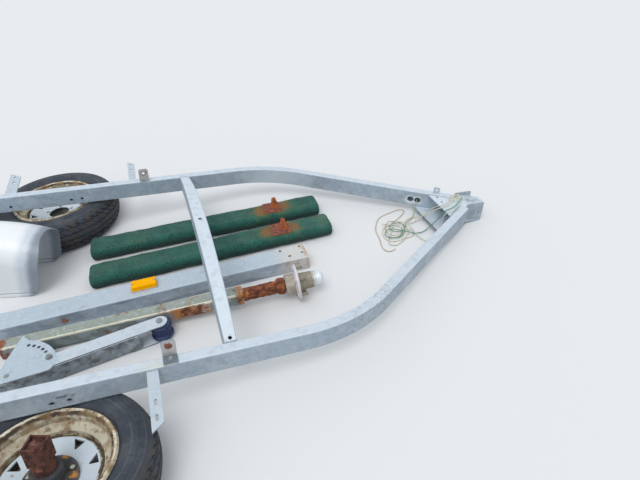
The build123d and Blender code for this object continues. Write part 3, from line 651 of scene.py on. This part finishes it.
plate_zinc = zinc("plate_zinc", top=(202, 214, 223), side=(184, 196, 206))
nose_zinc = zinc("nose_zinc", top=(186, 198, 206), side=(164, 176, 184), dirt=0.9)
SURFACES = {
    "right_rail left_rail lower_gusset middle_crossmember rear_crossmember": rail_zinc(),
    "front_crossmember upper_gusset": cross_zinc(),
    "tongue_plates": nose_zinc.done(),
    "light_tab front_fender_brackets rear_fender_brackets": plate_zinc.done(),
    "front_bunk_brackets rear_bunk_brackets": bracket_zinc(),
    "tongue_beam quadrant_plates": loose_zinc(),
    "winch_arm fork_plates": arm_zinc(),
    "axle_beam": axle_paint(),
    "axle_stub": scale_rust(),
    "bunk_tees": tee_rust(),
    "right_tyre left_tyre": rubber(),
    "right_rim left_rim": rim_paint(),
    "right_hub right_grease_cap axle_hub axle_grease_cap": hub_metal(),
    "left_bunk right_bunk": carpet(),
    "lamp_lens": amber(),
    "lamp_base": lamp_back(),
    "bow_roller": roller_rubber(),
    "roller_bolt": bolt_zinc(),
    "fender": fender_shell(),
    "wire_tangle wire_lead_a wire_lead_b": wire_paint("cream"),
}
for names, material in SURFACES.items():
    for name in names.split():
        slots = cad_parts[name].data.materials
        slots.clear()
        slots.append(material)


# Pieces
class Shape:
    """Vertices and faces gathered into one piece."""

    def __init__(self):
        self.verts = []
        self.faces = []

    def grid(self, rows, closed=False):
        """A skin over rows of points; closed makes a solid of rows that are rings."""
        start, n = len(self.verts), len(rows[0])
        for row in rows:
            self.verts += [tuple(v) for v in row]
        for i in range(len(rows) - 1):
            for j in range(n if closed else n - 1):
                a, b = start + i * n + j, start + i * n + (j + 1) % n
                self.faces.append((a, b, b + n, a + n))
        if closed:
            last = start + (len(rows) - 1) * n
            self.faces.append(tuple(range(start + n - 1, start - 1, -1)))
            self.faces.append(tuple(range(last, last + n)))

    def turned(self, m, profile, steps=24):
        """A profile of (radius, height) turned round the matrix's Z axis."""
        rows = [[point(m, r * math.cos(t), r * math.sin(t), z) for t in angles(steps)] for r, z in profile]
        self.grid(rows, closed=True)

    def prism(self, m, outline, levels):
        """An outline lofted through levels of (height, scale)."""
        rows = [[point(m, x * k, y * k, z) for x, y in outline] for z, k in levels]
        self.grid(rows, closed=True)

    def piece(self, name, material, slot, body="trailer", smooth=True):
        mesh = bpy.data.meshes.new(name)
        mesh.from_pydata(self.verts, [], self.faces)
        mesh.validate()
        mesh.materials.append(material)
        if smooth:
            mesh.shade_smooth()
            mesh.set_sharp_from_angle(angle=math.radians(38))
        made = add(name, mesh)
        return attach(made, body)


def lumps(place, *waves):
    """Uneven relief at a place, as the sum of waves of (count to the metre, height)."""
    return sum(noise.noise(place * scale) * height for scale, height in waves)


def near_turn(t, other):
    """The same angle, within half a turn of another one."""
    return t - 2 * math.pi * round((t - other) / (2 * math.pi))


def arc(a, through, b, steps):
    """Points on the arc through three points."""
    (ax, ay), (bx, by), (cx, cy) = a, through, b
    aa, bb, cc = ax**2 + ay**2, bx**2 + by**2, cx**2 + cy**2
    d = 2 * (ax * (by - cy) + bx * (cy - ay) + cx * (ay - by))
    ux = (aa * (by - cy) + bb * (cy - ay) + cc * (ay - by)) / d
    uy = (aa * (cx - bx) + bb * (ax - cx) + cc * (bx - ax)) / d
    first, middle, last = (math.atan2(y - uy, x - ux) for x, y in (a, through, b))
    last = near_turn(last, near_turn(middle, first))
    r = math.hypot(ax - ux, ay - uy)
    turns = [first + (last - first) * k / steps for k in range(steps + 1)]
    return [(ux + r * math.cos(t), uy + r * math.sin(t)) for t in turns]


# Wires: strands out of the nose and out of a wire hole, and their loose turns on the ground
WIRE = 0.004
WIRE_GAP = 0.0012
CROSSING_REACH = 0.15
laid = []


def wire(name, points, colour, replaced=()):
    """A strand on a route that is measured from the start of the rails' bend."""
    data = bpy.data.curves.new(name, "CURVE")
    data.dimensions = "3D"
    spline = data.splines.new("NURBS")
    spline.points.add(len(points) - 1)
    for control, place in zip(spline.points, points):
        control.co = (BEND.x + place[0], BEND.y + place[1], place[2], 1)
    spline.order_u = 3
    spline.use_endpoint_u = True
    spline.resolution_u = 8
    made = add(name, data)
    evaluated = made.evaluated_get(bpy.context.evaluated_depsgraph_get())
    line = bpy.data.meshes.new_from_object(evaluated)
    data.bevel_depth = WIRE / 2
    data.bevel_resolution = 3
    data.use_fill_caps = True
    data.materials.append(wire_paint(colour))
    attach(made, "trailer")
    if replaced:
        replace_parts(made, *replaced)


def settle(start, flat):
    """A route from a lead and flat points on the ground, lifted over the strands that lie there."""
    points = [Vector(p) for p in start] + [Vector((x, y, WIRE / 2 + 0.0002)) for x, y in flat]
    own = []
    for k, (a, b) in enumerate(zip(points[:-1], points[1:])):
        others = laid + own[:-1] if k >= len(start) - 1 else []
        for c, d in others:
            ab, cd = b - a, d - c
            cross = ab.x * cd.y - ab.y * cd.x
            if abs(cross) < 1e-9:
                continue
            s = ((c.x - a.x) * cd.y - (c.y - a.y) * cd.x) / cross
            t = ((c.x - a.x) * ab.y - (c.y - a.y) * ab.x) / cross
            under = c.z + cd.z * t
            meet = all(-CROSSING_REACH < part < 1 + CROSSING_REACH for part in (s, t))
            if meet and under < a.z + 0.02:
                lift = under + WIRE + WIRE_GAP
                a.z, b.z = max(a.z, lift), max(b.z, lift)
        own.append((a, b))
    laid.extend(own)
    return points


nose_lead = [
    (0.992, 0.036, 0.094), (0.951, 0.02, 0.099), (0.902, -0.016, 0.104), (0.858, -0.04, 0.11),
    (0.822, -0.03, 0.102), (0.803, -0.008, 0.072), (0.787, 0.032, 0.034), (0.779, 0.066, 0.013),
    (0.759, 0.082, 0.005), (0.738, 0.078, 0.004),
]
hole_lead = [
    (0.812, 0.135, 0.061), (0.797, 0.114, 0.06), (0.782, 0.096, 0.044), (0.769, 0.08, 0.022),
    (0.75, 0.066, 0.007), (0.728, 0.058, 0.004),
]
green_lead = [
    (0.99, 0.022, 0.0945), (0.936, -0.026, 0.0995), (0.887, -0.056, 0.105), (0.848, -0.064, 0.108),
    (0.83, -0.066, 0.09), (0.814, -0.058, 0.062), (0.797, -0.048, 0.038), (0.784, -0.043, 0.02),
    (0.768, -0.042, 0.008), (0.75, -0.045, 0.003),
]
cream_turns = [
    (0.712, 0.066), (0.7, 0.03), (0.694, -0.012), (0.672, -0.044), (0.63, -0.062), (0.59, -0.06),
    (0.567, -0.035), (0.568, 0.008), (0.586, 0.045), (0.615, 0.066), (0.65, 0.062), (0.676, 0.038),
    (0.672, 0.0), (0.646, -0.022), (0.612, -0.016), (0.592, 0.012), (0.6, 0.046),
]
sage_turns = [
    (0.705, 0.046), (0.69, 0.014), (0.66, -0.006), (0.628, 0.004), (0.616, 0.036), (0.636, 0.064),
    (0.672, 0.076), (0.694, 0.058), (0.688, 0.024), (0.664, -0.034), (0.624, -0.044), (0.584, -0.02),
]
green_turns = [
    (0.728, -0.048), (0.704, -0.046), (0.682, -0.036), (0.656, -0.016), (0.63, 0.012), (0.604, 0.022),
    (0.58, 0.01), (0.572, -0.02), (0.592, -0.046), (0.626, -0.052), (0.654, -0.036), (0.66, -0.004),
]
pale_lead = [
    (0.991, 0.043, 0.0945), (0.955, 0.034, 0.0995), (0.915, 0.006, 0.1045), (0.87, -0.02, 0.1095),
    (0.836, -0.016, 0.106), (0.812, 0.006, 0.084), (0.796, 0.022, 0.048), (0.786, 0.036, 0.02),
    (0.77, 0.044, 0.007), (0.748, 0.04, 0.003),
]
pale_turns = [
    (0.722, 0.03), (0.7, 0.052), (0.676, 0.07), (0.642, 0.052), (0.622, 0.018), (0.6, -0.014),
    (0.574, -0.048), (0.564, -0.078), (0.588, -0.09), (0.624, -0.078), (0.656, -0.056), (0.69, -0.058),
    (0.716, -0.03), (0.712, 0.01), (0.684, 0.036), (0.65, 0.03), (0.628, 0.052), (0.596, 0.076),
]
short_start = [(0.66, -0.006, 0.013), (0.686, 0.0, 0.01)]
short_turns = [(0.706, -0.022), (0.708, -0.056), (0.716, -0.09), (0.73, -0.118)]
tan_start = [(0.592, 0.012, 0.0125), (0.597, 0.04, 0.0125)]
tan_turns = [
    (0.612, 0.062), (0.639, 0.074), (0.664, 0.082), (0.704, 0.107), (0.738, 0.13), (0.754, 0.15),
    (0.748, 0.168), (0.726, 0.172), (0.693, 0.165), (0.64, 0.156), (0.605, 0.137), (0.582, 0.104),
    (0.564, 0.074), (0.55, 0.04), (0.547, 0.004), (0.54, -0.03), (0.529, -0.064), (0.526, -0.096),
    (0.538, -0.117), (0.56, -0.119), (0.577, -0.109),
]
white_lead = [
    (0.986, 0.008, 0.0945), (0.95, -0.018, 0.098), (0.908, -0.06, 0.1025), (0.872, -0.082, 0.106),
    (0.846, -0.08, 0.107), (0.832, -0.076, 0.088), (0.822, -0.078, 0.056), (0.816, -0.088, 0.036),
    (0.822, -0.1, 0.0335),
]
olive_lead = [
    (0.99, 0.05, 0.0945), (0.968, 0.056, 0.097), (0.94, 0.046, 0.0995), (0.918, 0.022, 0.102),
    (0.926, -0.004, 0.108), (0.95, -0.002, 0.109), (0.968, 0.016, 0.108), (0.962, 0.034, 0.107),
    (0.944, 0.03, 0.109), (0.936, 0.012, 0.109),
]
wire("wire_cream", settle(nose_lead, cream_turns), "cream", ("wire_lead_a", "wire_tangle"))
wire("wire_sage", settle(hole_lead, sage_turns), "sage", ("wire_lead_b",))
wire("wire_pale", settle(pale_lead, pale_turns), "white")
wire("wire_green", settle(green_lead, green_turns), "green")
wire("wire_tan", settle(tan_start, tan_turns), "tan")
wire("wire_short", settle(short_start, short_turns), "white")
wire("wire_white", white_lead, "white")
wire("wire_olive", olive_lead, "cream")

# Tyres: an arched tread and sidewalls with a wall 12 mm thick. Radius, and height over the middle.
TYRE_STEPS = 336
BEAD = (0.187, 0.06)
SIDEWALL = (0.235, 0.084)
SHOULDER = (0.272, 0.058)
CROWN = (0.285, 0)
FEET = [(0.172, 0.06), (0.168, 0.046)]
INNER_BEAD = (0.182, 0.048)
INNER_SIDEWALL = (0.23, 0.072)
INNER_SHOULDER = (0.262, 0.05)
INNER_CROWN = (0.273, 0)
TREAD_EDGE = 0.2715
GROOVES = (-0.04, -0.0135, 0.0135, 0.04)
SIDEWALL_RINGS = ((0.203, 0.0035, 0.0002), (0.219, 0.0016, -0.0002), (0.258, 0.003, 0.0004))
RAIL_HALF = 0.0208


def mirrored(place):
    return place[0], -place[1]


def tyre_profile():
    """The tyre's closed section, from its lower foot over the tread and back inside."""
    outer = arc(mirrored(BEAD), mirrored(SIDEWALL), mirrored(SHOULDER), 16)[:-1]
    outer += arc(mirrored(SHOULDER), CROWN, SHOULDER, 58)
    outer += arc(SHOULDER, SIDEWALL, BEAD, 16)[1:]
    inner = arc(INNER_BEAD, INNER_SIDEWALL, INNER_SHOULDER, 6)
    inner += arc(INNER_SHOULDER, INNER_CROWN, mirrored(INNER_SHOULDER), 6)[1:]
    inner += arc(mirrored(INNER_SHOULDER), mirrored(INNER_SIDEWALL), mirrored(INNER_BEAD), 6)[1:]
    return [mirrored(foot) for foot in reversed(FEET)] + outer + FEET + inner


def tread_cut(k, z):
    """How deep the tread is cut at a step round it: zigzag grooves, slots and shoulder notches."""
    zigzag = 0.0016 * (1 if (k // 3) % 2 else -1)
    phase = (k + int(z * 260)) % 7
    if any(abs(z - groove - zigzag) < 0.0034 for groove in GROOVES):
        return 0.0075
    if abs(z) > 0.044 and phase < 2:
        return 0.006
    if 0.017 < abs(z) < 0.036 and phase < 1:
        return 0.004
    return 0.0


def sidewall_rise(r, z):
    """How far a sidewall stands out at a radius, away from the tyre's middle."""
    for radius, half, rise in SIDEWALL_RINGS:
        if abs(r - radius) < half:
            return math.copysign(1, z) * rise
    return 0.0


def pressed(p, side):
    """A point of a tyre, pressed down where the rail on that side lies on it."""
    local = p - ORIGIN
    y, height = local.dot(FY) - side * RAIL_MIDDLE, local.dot(FZ)
    limit = -0.0006 + max(0.0, abs(y) - RAIL_HALF) * 0.9
    if height > limit and abs(y) < 0.07:
        return p - FZ * (height - limit)
    return p


def tyre(name, wheel, side):
    profile = tyre_profile()
    rows = []
    for k, t in enumerate(angles(TYRE_STEPS)):
        row = []
        for r, z in profile:
            if r > TREAD_EDGE and abs(z) <= SHOULDER[1]:
                r -= tread_cut(k, z)
            elif 0.19 < r <= TREAD_EDGE and abs(z) > 0.055:
                z += sidewall_rise(r, z)
            p = point(wheel, r * math.cos(t), r * math.sin(t), z)
            row.append(pressed(p, side) if z > 0 else p)
        rows.append(row)
    rows.append(rows[0])
    shape = Shape()
    shape.grid([list(column) for column in zip(*rows)])
    last = (len(profile) - 1) * len(rows)
    shape.faces += [(last + k, last + k + 1, k + 1, k) for k in range(TYRE_STEPS)]
    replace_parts(shape.piece(name, rubber(), "tyre"), name.replace("_tread", "_tyre"))


tyre("right_tread", RIGHT_WHEEL, -1)
tyre("left_tread", LEFT_WHEEL, 1)

# Bunks: boards wrapped in carpet, folded in at their ends, with a short pile
CARPET_LENGTH = 1.079
CARPET_HALF_W = 0.0665
CARPET_HALF_H = 0.0302
CARPET_CORNER = 0.0275
CARPET_END = [(0.0005, 0.55), (0.002, 0.8), (0.006, 0.93), (0.012, 0.985)]
CARPET_RUNS = 150
PILE = 15000


def carpet_outline():
    """A rounded rectangle, with points along its sides too."""
    flat_w, flat_h = CARPET_HALF_W - CARPET_CORNER, CARPET_HALF_H - CARPET_CORNER
    outline = []
    for cx, cy, turn in ((1, 1, 0), (-1, 1, 90), (-1, -1, 180), (1, -1, 270)):
        for k in range(7):
            x, y = polar(CARPET_CORNER, turn + 15 * k)
            outline.append((cx * flat_w + x, cy * flat_h + y))
        if cx == cy:
            outline += [(cx * flat_w * (1 - 0.2 * k), cy * CARPET_HALF_H) for k in range(1, 10)]
        else:
            outline += [(cx * CARPET_HALF_W, cy * flat_h * (1 - 0.5 * k)) for k in range(1, 4)]
    return outline


def carpet_point(m, x, y, z, scale):
    """A point of the skin, with ripples, and with pleats near the ends, kept above the ground."""
    p = Vector((-x, y * scale, CARPET_HALF_H + z * scale))
    ripple = lumps(m @ p, (9.0, 0.0036), (34.0, 0.0016))
    end = min(x, CARPET_LENGTH - x)
    pleat = 0.0012 * math.sin(y * 260 + z * 190) * max(0.0, 1 - end / 0.05)
    p += Vector((0, y / CARPET_HALF_W, z / CARPET_HALF_H)).normalized() * (ripple + pleat - 0.0012)
    p.z = max(p.z, 0.0004)
    return m @ p


def add_pile(shape, m, rows, levels):
    """Tufts of pile at random places on the skin, apart from its underside."""
    around = len(rows[0])
    for _ in range(PILE):
        i, j = rng.randrange(1, len(rows) - 2), rng.randrange(around)
        a, b, c = rows[i][j], rows[i][(j + 1) % around], rows[i + 1][j]
        up = (c - a).cross(b - a).normalized()
        if up.dot(a - point(m, -levels[i][0], 0, CARPET_HALF_H)) < 0:
            up = -up
        root = a + (b - a) * rng.random() + (c - a) * rng.random()
        if root.z < 0.006:
            continue
        lean = Vector((rng.uniform(-1, 1), rng.uniform(-1, 1), rng.uniform(-0.6, 0.6)))
        tip = root + (up + lean * 0.9).normalized() * rng.uniform(0.0016, 0.0034)
        wide = up.cross(lean).normalized() * 0.0007
        start = len(shape.verts)
        shape.verts += [tuple(v) for v in (root - wide, root + wide, tip)]
        shape.faces.append((start, start + 1, start + 2))


def bunk(name, m):
    inset = 0.022
    step = (CARPET_LENGTH - 2 * inset) / CARPET_RUNS
    levels = CARPET_END + [(inset + step * k, 1.0) for k in range(CARPET_RUNS + 1)]
    levels += [(CARPET_LENGTH - x, scale) for x, scale in reversed(CARPET_END)]
    outline = carpet_outline()
    rows = [[carpet_point(m, x, y, z, scale) for y, z in outline] for x, scale in levels]
    shape = Shape()
    shape.grid(rows, closed=True)
    add_pile(shape, m, rows, levels)
    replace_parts(shape.piece(name + "_carpet", carpet(), "carpet"), name)


bunk("left_bunk", LEFT_BUNK)
bunk("right_bunk", RIGHT_BUNK)

# Bolts with washers, on the brackets, the quadrant and the tees
THREAD_PITCH = 0.0012


def bolt(shape, m, size, thread=0.0):
    """A washer, a hexagon head or nut with a chamfer, and thread above it."""
    washer = [(size * 1.25, 0), (size * 1.3, 0.0006), (size * 1.25, 0.0018), (0.001, 0.0019)]
    shape.turned(m, washer)
    outline = [(size * math.cos(t), size * math.sin(t)) for t in angles(6)]
    tall = size * 0.85
    shape.prism(m, outline, [(0.0018, 0.96), (0.0026, 1), (tall, 1), (tall + size * 0.14, 0.86)])
    if thread:
        profile = []
        for k in range(int(thread / THREAD_PITCH)):
            profile.append((size * 0.5, tall + k * THREAD_PITCH))
            profile.append((size * 0.56, tall + (k + 0.5) * THREAD_PITCH))
        profile.append((size * 0.4, profile[-1][1] + 0.001))
        shape.turned(m, profile, 16)


zinc_bolts, rusty_bolts = Shape(), Shape()
for x in BUNK_BRACKETS:
    for side in (-1, 1):
        place = in_frame(x + 0.002, side * 0.598, RAIL_TOP + PLATE)
        bolt(zinc_bolts, axes_matrix(place, FX, FZ), 0.0085, 0.006)
bolt(zinc_bolts, moved(ARM, *polar(QUADRANT_ROW, QUADRANT_TURNS[0]), QUADRANT_TOP), 0.0095, 0.007)
pivot_head = [(0.0085, 0), (0.008, 0.0014), (0.004, 0.0022), (0.001, 0.0023)]
zinc_bolts.turned(moved(ARM, 0, 0, QUADRANT_TOP), pivot_head)
for x, y in ((-0.028, 0.026), (-0.028, -0.026), (0.026, 0.03), (0.026, -0.03)):
    for m, back in BUNK_TEES:
        bolt(rusty_bolts, moved(m, x - back, y, BUNK_TOP + PLATE), 0.0048)
zinc_bolts.piece("bolts", bolt_zinc(), "bolt")
rusty_bolts.piece("rusty_bolts", rusty_bolt(), "rusty_steel")

# The round rusty head in the near front bracket
bracket_bolt = Shape()
bracket_face = axes_matrix(in_frame(BUNK_BRACKETS[0], -0.58, BRACKET_HOLE), FX, -FY)
round_head = [(0.0105, 0), (0.0105, 0.0012), (0.008, 0.0026), (0.004, 0.0036), (0.0008, 0.0038)]
bracket_bolt.turned(bracket_face, round_head)
bracket_bolt.piece("bracket_bolt", rusty_bolt(), "rusty_steel")

# The strap on top of the winch arm
strap = Shape()
strap_outline = [(0.1, -0.0275), (0.394, -0.0275), (0.394, 0.0275), (0.1, 0.0275)]
strap.prism(ARM, strap_outline, [(0.0709, 1), (0.0755, 1)])
strap.piece("arm_strap", arm_zinc(), "galvanised", smooth=False)

# Scale that fills the cut end of the axle stub
stub_end = spun(moved(RIGHT_WHEEL, 0, 0, STUB_END), -20)
across = [-0.0202 + 0.0404 * k / 12 for k in range(13)]


def stub_point(x, y):
    coarse = lumps(Vector((x, y, 0.3)), (110, 0.004))
    fine = lumps(Vector((x, y, 0.7)), (320, 0.0015))
    return point(stub_end, x, y, -0.009 + coarse + fine)


stub_scale = Shape()
stub_scale.grid([[stub_point(x, y) for x in across] for y in across])
stub_scale.piece("stub_scale", scale_rust(), "rusty_steel", body="stub")

# Moulded ribs round both ends of the bow roller
roller_ribs = Shape()
rib_outline = [(0.0385, -0.0028), (0.0403, -0.0013), (0.0403, 0.0013), (0.0385, 0.0028)]
for t in angles(26):
    m = moved(ARM, *ROLLER) @ Matrix.Rotation(t, 4, "Z")
    for low, high in ((0.0062, 0.0138), (0.0462, 0.0538)):
        roller_ribs.prism(m, rib_outline, [(low, 1), (high, 1)])
roller_ribs.piece("roller_ribs", roller_rubber(), "blue_rubber", body="roller", smooth=False)

# Flaking scale on the neck and the wider shoulder behind the axle's hub
NECK_BACK = -0.2215
NECK_RADIUS = 0.0252
SHOULDER_START = -0.088
neck_scale = Shape()
rows = []
for k in range(83):
    x = NECK_BACK + 0.002 * k
    radius = NECK_RADIUS + 0.0068 * min(1.0, max(0.0, (x - SHOULDER_START) / 0.006))
    row = []
    for t in angles(56):
        place = Vector((x * 0.7, radius * math.cos(t), radius * math.sin(t)))
        rough = radius + lumps(place, (95, 0.0024), (290, 0.0011))
        row.append(point(AXLE, x, rough * math.cos(t), rough * math.sin(t)))
    rows.append(row)
neck_scale.grid(rows, closed=True)
neck_scale.piece("neck_scale", axle_paint(), "rusty_steel")

# Screws in the lamp's base
lamp_screws = Shape()
for x in (-0.044, 0.044):
    m = moved(moved(TONGUE, *LAMP), x, 0, 0)
    lamp_screws.turned(m, [(0.0046, -0.002), (0.0046, 0.0002), (0.003, 0.001), (0.0006, 0.0012)], 20)
lamp_screws.piece("lamp_screws", bolt_zinc(), "bolt")

# Welds: along the cross-members, the nose, the fender brackets and the winch arm
BEAD_RADIUS = 0.0035
THIN_BEAD = 0.003
welds = Shape()


def bead(a, b, radius=THIN_BEAD):
    """A rippled weld bead from one point to another."""
    way = (b - a).normalized()
    u = way.orthogonal().normalized()
    v = way.cross(u)
    count = max(4, int((b - a).length / 0.0016))
    rows = []
    for k in range(count + 1):
        middle = a.lerp(b, k / count) + u * rng.uniform(-0.0003, 0.0003)
        r = radius * (0.82 + 0.18 * math.cos(k * 2.1)) * (0.5 if k in (0, count) else 1)
        rows.append([middle + (u * math.cos(t) + v * math.sin(t)) * r for t in angles(8)])
    welds.grid(rows, closed=True)


for x in CROSS_MEMBERS:
    for side in (-1, 1):
        y = side * RAIL_INSIDE
        bead(in_frame(x - 0.018, y, RAIL_TOP), in_frame(x + 0.018, y, RAIL_TOP), BEAD_RADIUS)
        for edge_x in (x - 0.0205, x + 0.0205):
            if edge_x > REAR_END:
                bead(in_frame(edge_x, y, 0.004), in_frame(edge_x, y, 0.072), BEAD_RADIUS)
for side in (-1, 1):
    bead(in_frame(0.85, side * 0.1, 0.0745), in_frame(0.935, side * 0.0405, 0.0745))
    for x, half in FENDER_BRACKETS:
        y = side * 0.6155
        for z in (0.0695, 0.0635):
            bead(in_frame(x - half, y, z), in_frame(x + half, y, z))
for x in (0.0, 0.07):
    bead(point(ARM, x - 0.02, 0.03, ARM_TOP), point(ARM, x + 0.03, 0.03, ARM_TOP))
    bead(point(ARM, x + 0.36, 0.0255, 0.0705), point(ARM, x + 0.41, 0.0255, 0.0705), 0.0025)
welds.piece("welds", weld_metal(), "galvanised")

# Valve stems and balance weights on the rims
stems, weights = Shape(), Shape()
stem = [(0.0055, -0.012), (0.0085, -0.006), (0.006, 0), (0.0042, 0.012), (0.0042, 0.022), (0.0036, 0.03)]
weight = [(0.176, 0.064), (0.1795, 0.0665), (0.1795, 0.07), (0.174, 0.07), (0.172, 0.066)]
for wheel, turn in ((RIGHT_WHEEL, 70), (LEFT_WHEEL, 200)):
    stems.turned(moved(spun(wheel, turn), 0.15, 0, -0.03), stem, 20)
    for k in range(4):
        start = spun(wheel, turn + 90 + k * 1.9)
        rows = [[point(spun(start, d), r, 0, z) for r, z in weight] for d in (0, 0.6, 1.2, 1.8)]
        weights.grid(rows, closed=True)
stems.piece("valve_stems", rubber(), "tyre")
weights.piece("balance_weights", bolt_zinc(), "bolt")

# Studio: a pale floor that keeps its shadow, an even sky and a weak soft sun
FLOOR_HALF = 30
FLOOR_SHADE = (0.5, 0.49, 0.48, 1)
FLOOR_SEEN = (0.86, 0.86, 0.86, 1)
floor_mesh = bpy.data.meshes.new("floor")
corners = [(x * FLOOR_HALF, y * FLOOR_HALF, 0) for x, y in ((-1, -1), (1, -1), (1, 1), (-1, 1))]
floor_mesh.from_pydata(corners, [], [(0, 1, 2, 3)])
floor = add("floor", floor_mesh)
floor.location.z = -0.0005
pale = Paint("floor", (188, 186, 184), Roughness=1.0, Specular_IOR_Level=0.0)
rays = pale.node("LightPath").outputs
seen = pale.math("MAXIMUM", rays["Is Camera Ray"], rays["Is Glossy Ray"])
shades = pale.node("Mix", {0: seen, 6: FLOOR_SHADE, 7: FLOOR_SEEN}, data_type="RGBA")
pale.put(pale.shader.inputs["Base Color"], shades.outputs[2])
floor_mesh.materials.append(pale.material)

world = bpy.data.worlds.new("sky")
scene.world = world
world.use_nodes = True
sky = world.node_tree.nodes["Background"]
sky.inputs["Color"].default_value = (0.9, 0.95, 1.0, 1)
sky.inputs["Strength"].default_value = 0.72
sun = add("sun", bpy.data.lights.new("sun", "SUN"))
sun.data.energy = 1.05
sun.data.angle = math.radians(35)
sun.rotation_euler = Vector((0.3, 0.5, -1.0)).to_track_quat("-Z", "Y").to_euler()
scene.view_settings.view_transform = "Standard"
